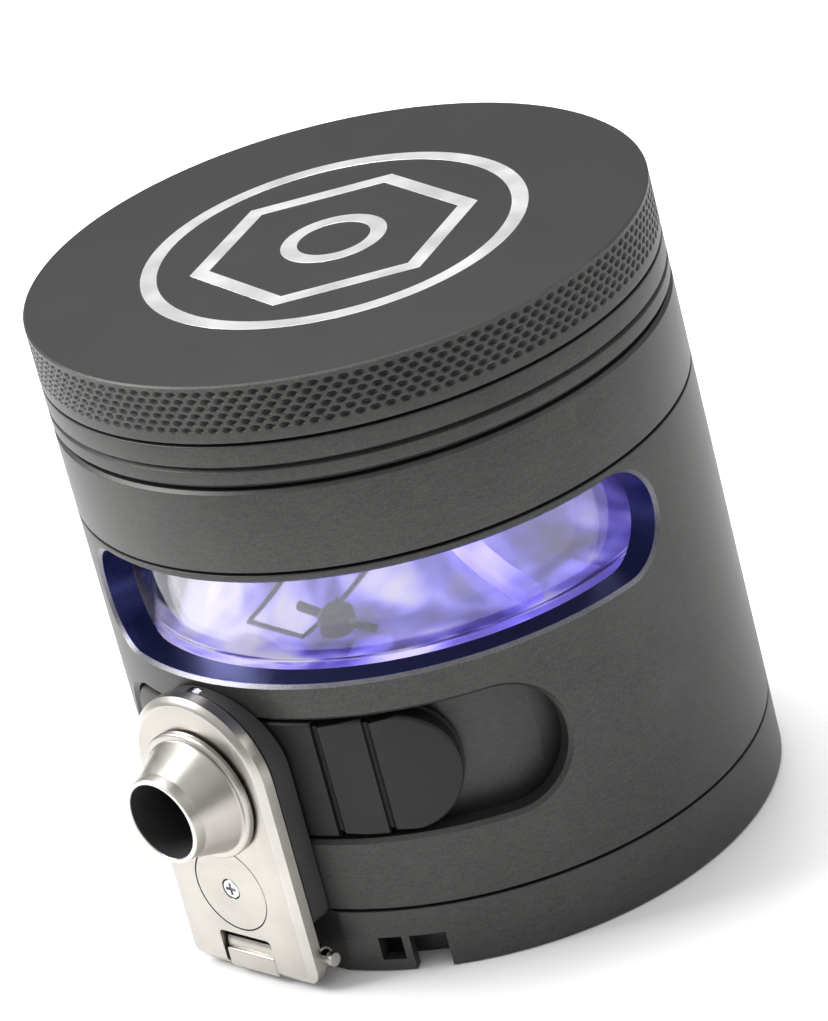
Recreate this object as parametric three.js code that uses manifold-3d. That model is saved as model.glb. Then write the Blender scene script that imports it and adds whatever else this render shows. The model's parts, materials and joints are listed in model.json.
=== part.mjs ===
// A hand grinder with a powered dispenser: a toothed lid over a toothed plate, a lit catch bowl behind
// a long window, an auger that feeds a nozzle, a slide that opens the port, and a hinged nozzle door.
// Millimetres, +Z up. The origin is the centre of the flat underside; the door faces -Y.
import * as THREE from 'three';
import { mergeVertices } from 'three/addons/utils/BufferGeometryUtils.js';
import Module from 'manifold-3d';

const wasm = await Module();
wasm.setup();

// ---------------------------------------------------------------- driving dimensions
const GAP = 0.3;              // clearance between neighbouring pieces
const FACETS = 40;            // facets round a large circle
const SMALL_FACETS = 12;      // facets round a pin, screw or hole

// Outside sections, stacked from the table up
const OUTER_R = 31.5;
const BASE_H = 7.1;
const BODY_H = 37.8;
const COLLAR_H = 9.05;
const RIM_H = 4.85;
const LID_H = 6.2;
const EDGE = 0.4;             // small chamfer on outside edges

// Walls
const BODY_WALL = 3.2;
const BASE_WALL = 2.5;
const BASE_FLOOR = 2.6;
const SPIGOT_WALL = 1.5;
const SPIGOT_STEP = [1.2, 2.2]; // below the base seam, from the spigot to the cup wall
const LID_THICKNESS = 2.6;

// Grinding chamber
const CHAMBER_WALL = 6.0;     // from the outside of the rim to the chamber
const PLATE_FLOOR = 2.2;
const PLATE_DEPTH = 6.75;     // how far the tooth plate hangs below its own rim
const TOOTH_RADIAL = 1.1;     // half sizes of a diamond tooth
const TOOTH_ALONG = 2.2;
const TOOTH_ROW_PITCH = 2.8;  // lid rows and plate rows alternate
const TOOTH_END_GAP = 0.6;
const SIEVE_HOLE_R = 1.6;
const POST_R = 5.2;
const MAGNET_R = 4.0;
const MAGNET_H = 2.0;
const MAGNET_SPACE = 1.2;     // air between the two magnets
const RING_STEP = 3.2;        // depth of the step that holds the friction ring
const RING_W = 1.3;
const RING_H = 1.0;
const RIM_GROOVE_Z = 2.23;    // height of the groove above the rim's lower edge
const RIM_GROOVE = 0.55;

// Window
const WINDOW_H = 11.2;
const WINDOW_DROP = 1.05;     // from the collar seam to the window's top
const WINDOW_FROM = -29;      // angles from the front, towards +X
const WINDOW_TO = 96.3;

// Slide pocket
const POCKET_H = 13.55;
const POCKET_RISE = 8.0;      // from the base seam to the pocket
const POCKET_FROM = -31.5;
const POCKET_TO = 66.3;
const SLIDE_RIGHT = 46.5;     // right end of the closed slide
const SLIDE_TRAVEL = 19.5;
const SLIDE_SINK = 0.2;       // slide face below the body surface
const FLANGE_LIP = 0.6;
const FLANGE_T = 0.8;
const GRIP_ANGLES = [20.9, 30.6];
const GRIP_DEPTH = 0.7;
const GRIP_WIDTH = 1.2;       // degrees
const TRACK_T = 1.1;
const TONGUE_AT = 14;
const TONGUE_MARGIN = 3.5;   // degrees of slot beyond the tongue's travel
const TONGUE_W = 2.0;
const TONGUE_H = 2.0;
const TONGUE_REACH = 3.2;
const TRACK_OVERLAP = 8;      // degrees of track beyond the pocket
const TRACK_RISE = 1.3;
const FLANGE_OVERLAP = 0.6;   // degrees of flange beyond the slide's face
const LATCH_DEPTH = 1.2;      // latch magnet below the body surface
const LATCH_INSET = 0.2;

// Nozzle and dispensing bore
const BORE_R = 4.1;
const NOZZLE_WALL = 0.5;
const SPIGOT_T = 0.8;         // wall of the nozzle's spigot through the door
const SPIGOT_LENGTH = 1.1;    // spigot behind the door plate
const NOZZLE_FLANGE_R = 7.0;
const NOZZLE_FLANGE_T = 0.8;
const NOZZLE_CONE_R = 6.2;
const NOZZLE_LIP = 1.2;
const NOZZLE_OUT = 6.0;       // mouth in front of the door

// Door
const DOOR_STANDOFF = 3.6;    // door face in front of the body
const DOOR_T = 1.8;
const DOOR_HALF_W = 8.7;
const DOOR_BOTTOM = 0.9;
const DOOR_RISE = 3.55;       // door top above the pocket
const DOOR_CORNER = 1.5;
const BACKING_INSET = 0.3;
const BACKING_FOOT = 6.6;
const GASKET_SPACE = 0.7;     // nozzle spigot to gasket
const GASKET_W = 1.2;
const GASKET_DEPTH = 0.95;
const DOOR_MAGNET_R = 1.3;
const DOOR_MAGNET_H = 0.7;
const LATCH_SPACE = 0.675;    // gasket to the door magnet above it
const CAP_R = 4.65;
const CAP_T = 0.7;
const CAP_Z = 10.6;
const CAP_SCREW_R = 1.05;
const CAP_SCREW_H = 0.6;
const CAP_SHAFT_R = 0.6;
const DRIVER = [0.7, 0.2, 0.3]; // half length, half width and depth of a cross slot

// Hinge
const PIN_R = 0.6;
const PIN_CLEARANCE = 0.1;
const EAR_R = 1.15;
const PIN_Z = 3.35;
const PIN_BEHIND_FACE = 2.1;  // pin behind the door's front face
const KNUCKLE_HALF_W = 3.35;
const KNUCKLE_GAP = 0.2;
const KNUCKLE_R = 1.65;       // round part of the knuckle about the pin
const KNUCKLE_TOP = 0.85;     // its flat top above the pin
const KNUCKLE_SHOULDER = 0.3; // square part of the knuckle below the pin
const SLOT_TOP = 5.2;
const HINGE_FLAT = 2.8;       // pin to the flat on the base
const TENON_HALF_W = 2.2;
const TENON_BELOW = 1.6;      // from the pin's height
const TENON_ABOVE = 0.9;
const TENON_SHOULDER = 0.5;

// Lanyard notch in the base
const NOTCH_FROM = 23;
const NOTCH_BAR = 28.2;
const NOTCH_TO = 35.7;
const NOTCH_H = 3.95;
const NOTCH_BAR_W = 1.4;      // degrees
const LOOP_WALL = 1.4;
const EYE_SILL = 1.4;

// Catch bowl and lights
const SLEEVE_WALL = 1.2;
const BOWL_WALL = 1.3;
const BOWL_FLOOR = 1.2;
const BOWL_FILLET = [2, 1];   // across and up
const SHELF_DROP = 0.8;       // collar shelf below the body's top edge
const BOWL_RISE = 2.25;       // bowl underside above the pocket
const SEAL_T = 0.5;
const SEAL_W = 2.5;
const CHUTE_HALF_W = 3.6;
const CHUTE_LENGTH = 11;
const INLET_MARGIN = 0.4;
const CHUTE_WALL = 1.0;
const CHUTE_Y = -14.5;
const RIB = [2, 9, 1.9];        // width, start radius, height above the floor
const RIB_ANGLE = 72;
const LED_BOARD_T = 1.0;
const LED_BOARD_R = 26;
const LED_COUNT = 6;
const LED_SIZE = 3.6;
const LED_T = 0.8;
const LED_RING_R = 21;
const WIRE_HOLE = [2.5, 12];    // radius and distance from the axis

// Stirrer in the bowl
const STIRRER_X = 6.8;
const STIRRER_Y = -18.2;
const STIRRER_HUB_R = 1.8;
const STIRRER_HUB_H = 2.0;
const STIRRER_SHAFT_R = 0.8;
const STIRRER_ARM = 5.2;
const STIRRER_WIRE_R = 0.4;

// Auger and its drive
const AUGER_CLEARANCE = 0.4;  // auger flight to the bore
const AUGER_END_GAP = 0.7;
const AUGER_CORE_R = 1.2;
const AUGER_FLIGHT_T = 1.4;
const AUGER_TURNS = 3;
const AUGER_CORE_LENGTH = 1.9;  // plain core inside the coupling
const SHAFT_IN_COUPLING = 1.3;
const SHAFT_IN_GEARBOX = 2.0;
const TUBE_WALL = 0.9;
const TUBE_BACK = -4;
const COUPLING_R = 2.7;
const COUPLING_BACK = 0.6;
const GEARBOX_FRONT = 2.0;
const GEARBOX_L = 9;
const MOTOR_L = 14.5;
const MOTOR_W = 12;
const MOTOR_H = 10;
const MOTOR_BOSS = [1.6, 0.8];  // radius and height
const STRAP_W = 4;
const STRAP_T = 0.6;

// Chassis, battery and boards
const CHASSIS_T = 1.4;
const CHASSIS_RISE = 5.4;     // chassis underside above the base seam
const CRADLE_WALL = 1.6;
const BATTERY = [34, 24, 5.6];
const BOARD_T = 0.8;
const PORT = [8.9, 7.3, 3.2];
const PORT_SHEET = 0.35;
const PORT_TONGUE = [6.6, 0.7]; // width and thickness
const PORT_SINK = 0.4;        // port mouth below the base surface
const SCREW_R = 0.9;
const SCREW_HEAD_R = 1.9;
const SCREW_HEAD_H = 0.8;
const SCREW_RING_R = 23;
const SCREW_COUNT = 3;
const SCREW_CLEARANCE = 0.3;
const SCREW_POST_R = 2.3;
const PAD_OUTER_R = 26.5;
const PAD_INNER_R = 17;
const PAD_T = 0.7;
const SWITCH = [5.8, 4.2, 4.0];
const SPRING_R = 2.2;
const SPRING_H = 3.5;
const SPRING_AT = [12, -11];
const SWITCH_LEAD = 14;       // degrees past the tongue's travel
const SADDLE = [4, 3];        // half width and length of the tube saddle

// ---------------------------------------------------------------- places worked out from them
const BASE_TOP = BASE_H;
const BODY_TOP = BASE_TOP + BODY_H;
const COLLAR_TOP = BODY_TOP + COLLAR_H;
const RIM_TOP = COLLAR_TOP + RIM_H;
const TOP = RIM_TOP + LID_H;
const HALF_GAP = GAP / 2;

const BODY_INNER_R = OUTER_R - BODY_WALL;
const SPIGOT_R = BODY_INNER_R - GAP;
const CHAMBER_R = OUTER_R - CHAMBER_WALL;
const PLATE_BOTTOM = COLLAR_TOP - PLATE_DEPTH;
const CHAMBER_FLOOR = PLATE_BOTTOM + PLATE_FLOOR;
const CHAMBER_ROOF = TOP - LID_THICKNESS;
const POST_TOP = (CHAMBER_FLOOR + CHAMBER_ROOF) / 2;

const POCKET_LOW = BASE_TOP + POCKET_RISE;
const POCKET_TOP = POCKET_LOW + POCKET_H;
const FEED_Z = POCKET_LOW + POCKET_H / 2;
const WINDOW_TOP = BODY_TOP - WINDOW_DROP;
const WINDOW_LOW = WINDOW_TOP - WINDOW_H;

const NOZZLE_SPIGOT_R = BORE_R + SPIGOT_T;
const GASKET_R = NOZZLE_SPIGOT_R + GASKET_SPACE;
const DOOR_FACE = OUTER_R + DOOR_STANDOFF;
const DOOR_BACK = DOOR_FACE - DOOR_T;
const DOOR_TOP = POCKET_TOP + DOOR_RISE;
const PIN_OUT = DOOR_FACE - PIN_BEHIND_FACE;
const FLAT_OUT = PIN_OUT - HINGE_FLAT;
const BACKING_FRONT = DOOR_BACK - GAP;
const BODY_CLEAR_R = OUTER_R + GAP;

const BOWL_BOTTOM = POCKET_TOP + BOWL_RISE;
const BOWL_FLOOR_TOP = BOWL_BOTTOM + BOWL_FLOOR;
const SHELF_LOW = BODY_TOP - SHELF_DROP;
const SLEEVE_TOP = SHELF_LOW - GAP;
const SLEEVE_INNER_R = SPIGOT_R - SLEEVE_WALL;
const BOWL_R = SLEEVE_INNER_R - GAP;
const CHASSIS_LOW = BASE_TOP + CHASSIS_RISE;
const CHASSIS_TOP = CHASSIS_LOW + CHASSIS_T;
const TRACK_R = BODY_INNER_R - GAP;
const AUGER_R = BORE_R - AUGER_CLEARANCE;

const assembly = new THREE.Group();

// ---------------------------------------------------------------- shape helpers
const toRadians = THREE.MathUtils.degToRad;

/** A closed three.js geometry as a solid, welded and with its faces pointing out. */
function solid(geometry) {
  geometry.deleteAttribute('normal');
  geometry.deleteAttribute('uv');
  const welded = mergeVertices(geometry, 1e-4);
  const points = welded.attributes.position.array;
  const index = welded.index.array;
  const triangles = [];
  let volume = 0;
  const [p, q, r] = [new THREE.Vector3(), new THREE.Vector3(), new THREE.Vector3()];
  for (let i = 0; i < index.length; i += 3) {
    const [a, b, c] = [index[i], index[i + 1], index[i + 2]];
    if (a === b || b === c || c === a) continue;
    triangles.push(a, b, c);
    p.fromArray(points, 3 * a);
    q.fromArray(points, 3 * b);
    r.fromArray(points, 3 * c);
    volume += p.dot(q.cross(r));
  }
  if (volume < 0) triangles.reverse();
  return new wasm.Manifold(new wasm.Mesh({
    numProp: 3,
    vertProperties: Float32Array.from(points),
    triVerts: Uint32Array.from(triangles),
  }));
}

/** A profile of [radius, height] points turned about Z; it closes on the axis or on itself. */
function turned(profile, facets = FACETS) {
  return solid(turnedGeometry(profile, facets).rotateX(Math.PI / 2));
}

/** The same, turned about an axis that runs out through the front, with height measured outwards. */
function turnedOutwards(profile, z, facets = 28) {
  return solid(turnedGeometry(profile, facets).rotateX(Math.PI).translate(0, 0, z));
}

function turnedGeometry(profile, facets) {
  const points = profile.map(([radius, height]) => new THREE.Vector2(radius, height));
  if (profile[0][0] !== 0) points.push(points[0].clone());
  return new THREE.LatheGeometry(points, facets);
}

function disc(radius, zs) {
  return turned([[0, zs[0]], [radius, zs[0]], [radius, zs[1]], [0, zs[1]]]);
}

function block(xs, ys, zs) {
  const geometry = new THREE.BoxGeometry(xs[1] - xs[0], ys[1] - ys[0], zs[1] - zs[0]);
  return solid(geometry.translate((xs[0] + xs[1]) / 2, (ys[0] + ys[1]) / 2, (zs[0] + zs[1]) / 2));
}

/** A block of the given sizes, turned to face an angle from the front at a radius. */
function blockAt(sizes, radius, angle, z) {
  const geometry = new THREE.BoxGeometry(...sizes);
  geometry.translate(0, -radius, z);
  return solid(geometry.rotateZ(toRadians(angle)));
}

function rodZ(radius, x, y, zs, facets = SMALL_FACETS) {
  const geometry = new THREE.CylinderGeometry(radius, radius, zs[1] - zs[0], facets);
  return solid(geometry.rotateX(Math.PI / 2).translate(x, y, (zs[0] + zs[1]) / 2));
}

function rodY(radius, x, z, ys, facets = SMALL_FACETS) {
  const geometry = new THREE.CylinderGeometry(radius, radius, ys[1] - ys[0], facets);
  return solid(geometry.translate(x, (ys[0] + ys[1]) / 2, z));
}

function rodX(radius, y, z, xs, facets = SMALL_FACETS) {
  const geometry = new THREE.CylinderGeometry(radius, radius, xs[1] - xs[0], facets);
  return solid(geometry.rotateZ(Math.PI / 2).translate((xs[0] + xs[1]) / 2, y, z));
}

/** A plate in the XZ plane with an outline of its own, between two distances in front of the axis. */
function frontPlate(outline, outer, inner) {
  const geometry = new THREE.ExtrudeGeometry(outline, {
    depth: outer - inner, bevelEnabled: false, curveSegments: 8,
  });
  return solid(geometry.rotateX(Math.PI / 2).translate(0, -inner, 0));
}

/** A bar that follows the round wall. The stations give [angle, low height, high height]. */
function bent(stations, innerR, outerR) {
  const columns = stations.length - 1;
  const geometry = new THREE.BoxGeometry(1, 1, 1, columns, 1, 1);
  const position = geometry.attributes.position;
  for (let i = 0; i < position.count; i += 1) {
    const [angle, low, high] = stations[Math.round((position.getX(i) + 0.5) * columns)];
    const radius = position.getY(i) > 0 ? outerR : innerR;
    const turn = toRadians(angle);
    const z = position.getZ(i) > 0 ? high : low;
    position.setXYZ(i, radius * Math.sin(turn), -radius * Math.cos(turn), z);
  }
  return solid(geometry);
}

/** Evenly spaced stations for a bent bar with square ends. */
function squareEnds(from, to, low, high, step = 6) {
  const count = Math.max(1, Math.ceil((to - from) / step));
  const at = (i) => from + ((to - from) * i) / count;
  return Array.from({ length: count + 1 }, (_, i) => [at(i), low, high]);
}

/** Stations for a bent bar with half-round ends, measured along the outer surface. */
function roundEnds(from, to, low, high, surfaceR = OUTER_R, arcSteps = 6) {
  const half = (high - low) / 2;
  const middle = (high + low) / 2;
  const endAngle = THREE.MathUtils.radToDeg(half / surfaceR);
  const stations = [];
  for (let i = 0; i < arcSteps; i += 1) {
    const turn = (Math.PI / 2) * (i / arcSteps);
    const reach = half * Math.sin(turn);
    stations.push([from + endAngle * (1 - Math.cos(turn)), middle - reach, middle + reach]);
  }
  const mirrored = stations.map(([angle, a, b]) => [from + to - angle, a, b]).reverse();
  return [...stations, ...squareEnds(from + endAngle, to - endAngle, low, high), ...mirrored];
}

function joined(...solids) {
  return solids.reduce((whole, next) => whole.add(next));
}

function cutFrom(whole, ...cutters) {
  return cutters.reduce((left, cutter) => left.subtract(cutter), whole);
}

function material(color, roughness, metalness, opacity = 1) {
  return new THREE.MeshStandardMaterial({
    color, roughness, metalness, opacity, transparent: opacity < 1,
  });
}

const GUNMETAL = () => material(0x55555a, 0.5, 0.8);
const DARK_SLIDE = () => material(0x38383a, 0.6, 0.5);
const NICKEL = () => material(0xc9c5bd, 0.28, 1.0);
const BLACK_PLASTIC = () => material(0x1c1c1e, 0.6, 0.0);
const CLEAR = () => material(0xdfe0ff, 0.1, 0.0, 0.3);
const MAGNET = () => material(0xb4b4ba, 0.3, 1.0);
const RUBBER = () => material(0x242426, 0.9, 0.0);
const STEEL = () => material(0xa8a8ac, 0.35, 1.0);
const BOARD = () => material(0x1f5a34, 0.6, 0.0);
const LIGHT = () => material(0xe9e6ff, 0.4, 0.0);
const FOIL = () => material(0x9aa0a8, 0.5, 0.3);

function add(name, shape, looks) {
  const { vertProperties, triVerts } = shape.getMesh();
  const geometry = new THREE.BufferGeometry();
  geometry.setAttribute('position', new THREE.BufferAttribute(new Float32Array(vertProperties), 3));
  geometry.setIndex(new THREE.BufferAttribute(new Uint32Array(triVerts), 1));
  geometry.computeVertexNormals();
  const mesh = new THREE.Mesh(geometry, looks);
  mesh.name = name;
  assembly.add(mesh);
}

// ---------------------------------------------------------------- grinding chamber
/** One diamond tooth standing on a circle. */
function tooth(radius, angle, zs) {
  const geometry = new THREE.CylinderGeometry(1, 1, zs[1] - zs[0], 4);
  geometry.rotateX(Math.PI / 2).scale(TOOTH_RADIAL, TOOTH_ALONG, 1);
  geometry.translate(radius, 0, (zs[0] + zs[1]) / 2);
  return solid(geometry.rotateZ(angle));
}

/** Radii of the tooth rows from the wall inwards; even rows are the plate's and odd rows the lid's. */
function toothRows() {
  const rows = [];
  let radius = CHAMBER_R - TOOTH_RADIAL - TOOTH_ROW_PITCH / 2;
  while (radius - TOOTH_RADIAL > POST_R + GAP) {
    rows.push(radius);
    radius -= TOOTH_ROW_PITCH;
  }
  return rows;
}

function teeth(parity, zs) {
  const solids = [];
  toothRows().forEach((radius, row) => {
    if (row % 2 !== parity) return;
    const count = Math.max(4, Math.round(radius / 2.4));
    for (let i = 0; i < count; i += 1) {
      solids.push(tooth(radius, (2 * Math.PI * (i + row / 4)) / count, zs));
    }
  });
  return solids;
}

function sieveHoles() {
  const solids = [];
  toothRows().forEach((radius, row) => {
    if (row % 2 === 0) return;
    const count = Math.round(radius / 1.9);
    for (let i = 0; i < count; i += 1) {
      const turn = (2 * Math.PI * i) / count;
      const [x, y] = [radius * Math.cos(turn), radius * Math.sin(turn)];
      solids.push(rodZ(SIEVE_HOLE_R, x, y, [PLATE_BOTTOM - 1, CHAMBER_FLOOR + 0.5], 8));
    }
  });
  return solids;
}

const RING_OUTER_R = CHAMBER_R + 2 * GAP + RING_W;
const RING_SEAT = RIM_TOP - RING_STEP;
const RING_TOP = RING_SEAT + GAP + RING_H;

function makeLid() {
  const low = RIM_TOP + HALF_GAP;
  const bossLow = POST_TOP + MAGNET_SPACE;
  const ringR = [CHAMBER_R + GAP, RING_OUTER_R - GAP];
  const shell = turned([
    [0, bossLow], [POST_R, bossLow], [POST_R, CHAMBER_ROOF], [ringR[0], CHAMBER_ROOF],
    [ringR[0], RING_TOP + GAP], [ringR[1], RING_TOP + GAP], [ringR[1], low], [OUTER_R, low],
    [OUTER_R, TOP - EDGE], [OUTER_R - EDGE, TOP], [0, TOP],
  ]);
  const hanging = teeth(1, [CHAMBER_FLOOR + TOOTH_END_GAP, CHAMBER_ROOF + 0.5]);
  const seat = rodZ(MAGNET_R + GAP, 0, 0, [bossLow - 1, bossLow + MAGNET_H + GAP], 24);
  add('lid', cutFrom(joined(shell, ...hanging), seat), GUNMETAL());
  add('lid_magnet', rodZ(MAGNET_R, 0, 0, [bossLow, bossLow + MAGNET_H], 24), MAGNET());
}

function makeToothPlate() {
  const low = COLLAR_TOP + HALF_GAP;
  const high = RIM_TOP - HALF_GAP;
  const grooveZ = COLLAR_TOP + RIM_GROOVE_Z;
  const plate = turned([
    [0, PLATE_BOTTOM], [SPIGOT_R, PLATE_BOTTOM], [SPIGOT_R, low], [OUTER_R - EDGE, low],
    [OUTER_R, low + EDGE], [OUTER_R, grooveZ - RIM_GROOVE / 2], [OUTER_R - RIM_GROOVE, grooveZ],
    [OUTER_R, grooveZ + RIM_GROOVE / 2], [OUTER_R, high], [RING_OUTER_R, high],
    [RING_OUTER_R, RING_SEAT], [CHAMBER_R, RING_SEAT], [CHAMBER_R, CHAMBER_FLOOR],
    [POST_R, CHAMBER_FLOOR], [POST_R, POST_TOP], [0, POST_TOP],
  ]);
  const standing = teeth(0, [CHAMBER_FLOOR - 0.5, CHAMBER_ROOF - TOOTH_END_GAP]);
  const seat = rodZ(MAGNET_R + GAP, 0, 0, [POST_TOP - MAGNET_H - GAP, POST_TOP + 1], 24);
  add('tooth_plate', cutFrom(joined(plate, ...standing), seat, ...sieveHoles()), GUNMETAL());
  add('plate_magnet', rodZ(MAGNET_R, 0, 0, [POST_TOP - MAGNET_H, POST_TOP], 24), MAGNET());
  const ringLow = RING_SEAT + GAP;
  add('friction_ring', turned([
    [CHAMBER_R + GAP, ringLow], [RING_OUTER_R - GAP, ringLow],
    [RING_OUTER_R - GAP, ringLow + RING_H], [CHAMBER_R + GAP, ringLow + RING_H],
  ]), material(0xe6e6e2, 0.5, 0.0));
}

function makeCollar() {
  const low = BODY_TOP + HALF_GAP;
  const high = COLLAR_TOP - HALF_GAP;
  const shelfTop = PLATE_BOTTOM - GAP;
  const shelfR = BOWL_R - BOWL_WALL;
  add('collar', turned([
    [shelfR, SHELF_LOW], [SPIGOT_R, SHELF_LOW], [SPIGOT_R, low], [OUTER_R, low],
    [OUTER_R, high - EDGE], [OUTER_R - EDGE, high], [BODY_INNER_R, high],
    [BODY_INNER_R, shelfTop], [shelfR, shelfTop],
  ]), GUNMETAL());
}

// ---------------------------------------------------------------- bowl and lights
const BOWL_TOP = SLEEVE_TOP - SEAL_T - GAP;
const CHUTE_YS = [CHUTE_Y - CHUTE_LENGTH / 2, CHUTE_Y + CHUTE_LENGTH / 2];
const TUBE_R = BORE_R + TUBE_WALL;
const CHUTE_LOW = FEED_Z + TUBE_R + GAP;

function widened(span, margin) {
  return [span[0] - margin, span[1] + margin];
}

function makeBowl() {
  add('clear_sleeve', turned([
    [SLEEVE_INNER_R, BOWL_BOTTOM], [SPIGOT_R, BOWL_BOTTOM],
    [SPIGOT_R, SLEEVE_TOP], [SLEEVE_INNER_R, SLEEVE_TOP],
  ]), CLEAR());

  const innerR = BOWL_R - BOWL_WALL;
  const cup = turned([
    [0, BOWL_BOTTOM], [BOWL_R, BOWL_BOTTOM], [BOWL_R, BOWL_TOP], [innerR, BOWL_TOP],
    [innerR, BOWL_FLOOR_TOP + BOWL_FILLET[1]], [innerR - BOWL_FILLET[0], BOWL_FLOOR_TOP],
    [0, BOWL_FLOOR_TOP],
  ]);
  const chuteXs = [-CHUTE_HALF_W, CHUTE_HALF_W];
  const spout = block(
    widened(chuteXs, CHUTE_WALL), widened(CHUTE_YS, CHUTE_WALL), [CHUTE_LOW, BOWL_BOTTOM + 0.5],
  );
  const passage = block(chuteXs, CHUTE_YS, [CHUTE_LOW - 1, BOWL_FLOOR_TOP + 1]);
  const [ribW, ribFrom, ribH] = RIB;
  const ribLength = innerR - 1 - ribFrom;
  const ribSize = [ribW, ribLength, ribH + GAP];
  const rib = blockAt(ribSize, ribFrom + ribLength / 2, RIB_ANGLE, BOWL_FLOOR_TOP + (ribH - GAP) / 2);
  const shaftHole = rodZ(
    STIRRER_SHAFT_R + GAP, STIRRER_X, STIRRER_Y, [BOWL_BOTTOM - 1, BOWL_FLOOR_TOP + 1],
  );
  add('chamber_bowl', cutFrom(joined(cup, spout, rib), passage, shaftHole), CLEAR());

  const sealLow = BOWL_TOP + GAP;
  add('bowl_seal', turned([
    [BOWL_R - SEAL_W, sealLow], [BOWL_R, sealLow],
    [BOWL_R, sealLow + SEAL_T - GAP / 3], [BOWL_R - SEAL_W, sealLow + SEAL_T - GAP / 3],
  ]), RUBBER());
}

function makeLights() {
  const ledTop = BOWL_BOTTOM - GAP;
  const ledLow = ledTop - LED_T;
  const boardTop = ledLow - GAP / 2;
  const boardZs = [boardTop - LED_BOARD_T, boardTop];
  const board = disc(LED_BOARD_R, boardZs);
  const margin = CHUTE_WALL + GAP;
  const tall = widened(boardZs, 1);
  const slot = block(widened([-CHUTE_HALF_W, CHUTE_HALF_W], margin), widened(CHUTE_YS, margin), tall);
  const shaftHole = rodZ(STIRRER_SHAFT_R + GAP, STIRRER_X, STIRRER_Y, tall);
  const wireHole = rodZ(WIRE_HOLE[0], 0, WIRE_HOLE[1], tall);
  add('led_board', cutFrom(board, slot, shaftHole, wireHole), BOARD());
  for (let i = 0; i < LED_COUNT; i += 1) {
    const angle = (360 * (i + 0.5)) / LED_COUNT;
    const chip = blockAt([LED_SIZE, LED_SIZE, LED_T], LED_RING_R, angle, (ledLow + ledTop) / 2);
    add(`led_${i + 1}`, chip, LIGHT());
  }
}

function makeStirrer() {
  const hubLow = BOWL_FLOOR_TOP + GAP;
  const hubTop = hubLow + STIRRER_HUB_H;
  const wireZ = hubLow + STIRRER_HUB_H / 2;
  const wireXs = [STIRRER_X - STIRRER_ARM, STIRRER_X + STIRRER_ARM];
  add('stirrer', joined(
    rodZ(STIRRER_HUB_R, STIRRER_X, STIRRER_Y, [hubLow, hubTop]),
    rodZ(STIRRER_SHAFT_R, STIRRER_X, STIRRER_Y, [CHASSIS_TOP + 2 * GAP, hubLow + 0.5]),
    rodX(STIRRER_WIRE_R, STIRRER_Y, wireZ, wireXs, 8),
  ), STEEL());
}

// ---------------------------------------------------------------- body, track and slide
const SLIDE_ZS = widened([POCKET_LOW, POCKET_TOP], -GAP);
const SLIDE_LEFT = POCKET_FROM + FLANGE_OVERLAP;
const LATCH_Z = FEED_Z + GASKET_R + GASKET_W + LATCH_SPACE + DOOR_MAGNET_R;
const LATCH_OUT = OUTER_R - LATCH_DEPTH;

function makeBody() {
  const shell = turned([
    [BODY_INNER_R, BASE_TOP + HALF_GAP], [OUTER_R, BASE_TOP + HALF_GAP],
    [OUTER_R, BODY_TOP - HALF_GAP], [BODY_INNER_R, BODY_TOP - HALF_GAP],
  ]);
  const through = [BODY_INNER_R - 1, OUTER_R + 2];
  const window = bent(roundEnds(WINDOW_FROM, WINDOW_TO, WINDOW_LOW, WINDOW_TOP), ...through);
  const pocket = bent(roundEnds(POCKET_FROM, POCKET_TO, POCKET_LOW, POCKET_TOP), ...through);
  const recessZs = widened([POCKET_LOW, POCKET_TOP], FLANGE_LIP - GAP / 2);
  const recess = bent(
    roundEnds(POCKET_FROM - 1.5, POCKET_TO + 1.5, ...recessZs),
    BODY_INNER_R - 1, BODY_INNER_R + FLANGE_T + GAP,
  );
  const latchSeat = rodY(DOOR_MAGNET_R + GAP / 2, 0, LATCH_Z, [-LATCH_OUT, -BODY_INNER_R + 1]);
  add('body_shell', cutFrom(shell, window, pocket, recess, latchSeat), GUNMETAL());
  const magnetYs = [GAP - LATCH_OUT, -BODY_INNER_R - LATCH_INSET];
  add('latch_magnet', rodY(DOOR_MAGNET_R, 0, LATCH_Z, magnetYs), MAGNET());
}

function makeTrack() {
  const wall = bent(
    squareEnds(
      POCKET_FROM - TRACK_OVERLAP, POCKET_TO + TRACK_OVERLAP, CHASSIS_TOP + GAP, POCKET_TOP + TRACK_RISE,
    ),
    TRACK_R - TRACK_T, TRACK_R,
  );
  const port = rodY(BORE_R, 0, FEED_Z, [-OUTER_R, -TRACK_R + 4], 28);
  const tongueZ = POCKET_LOW + FLANGE_LIP + TONGUE_H;
  const slotAngles = widened([TONGUE_AT, TONGUE_AT + SLIDE_TRAVEL], TONGUE_MARGIN);
  const tongueSlot = bent(
    squareEnds(...slotAngles, tongueZ - TONGUE_H, tongueZ + TONGUE_H),
    TRACK_R - TRACK_T - 1, TRACK_R + 1,
  );
  add('slide_track', cutFrom(wall, port, tongueSlot), BLACK_PLASTIC());
}

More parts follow.
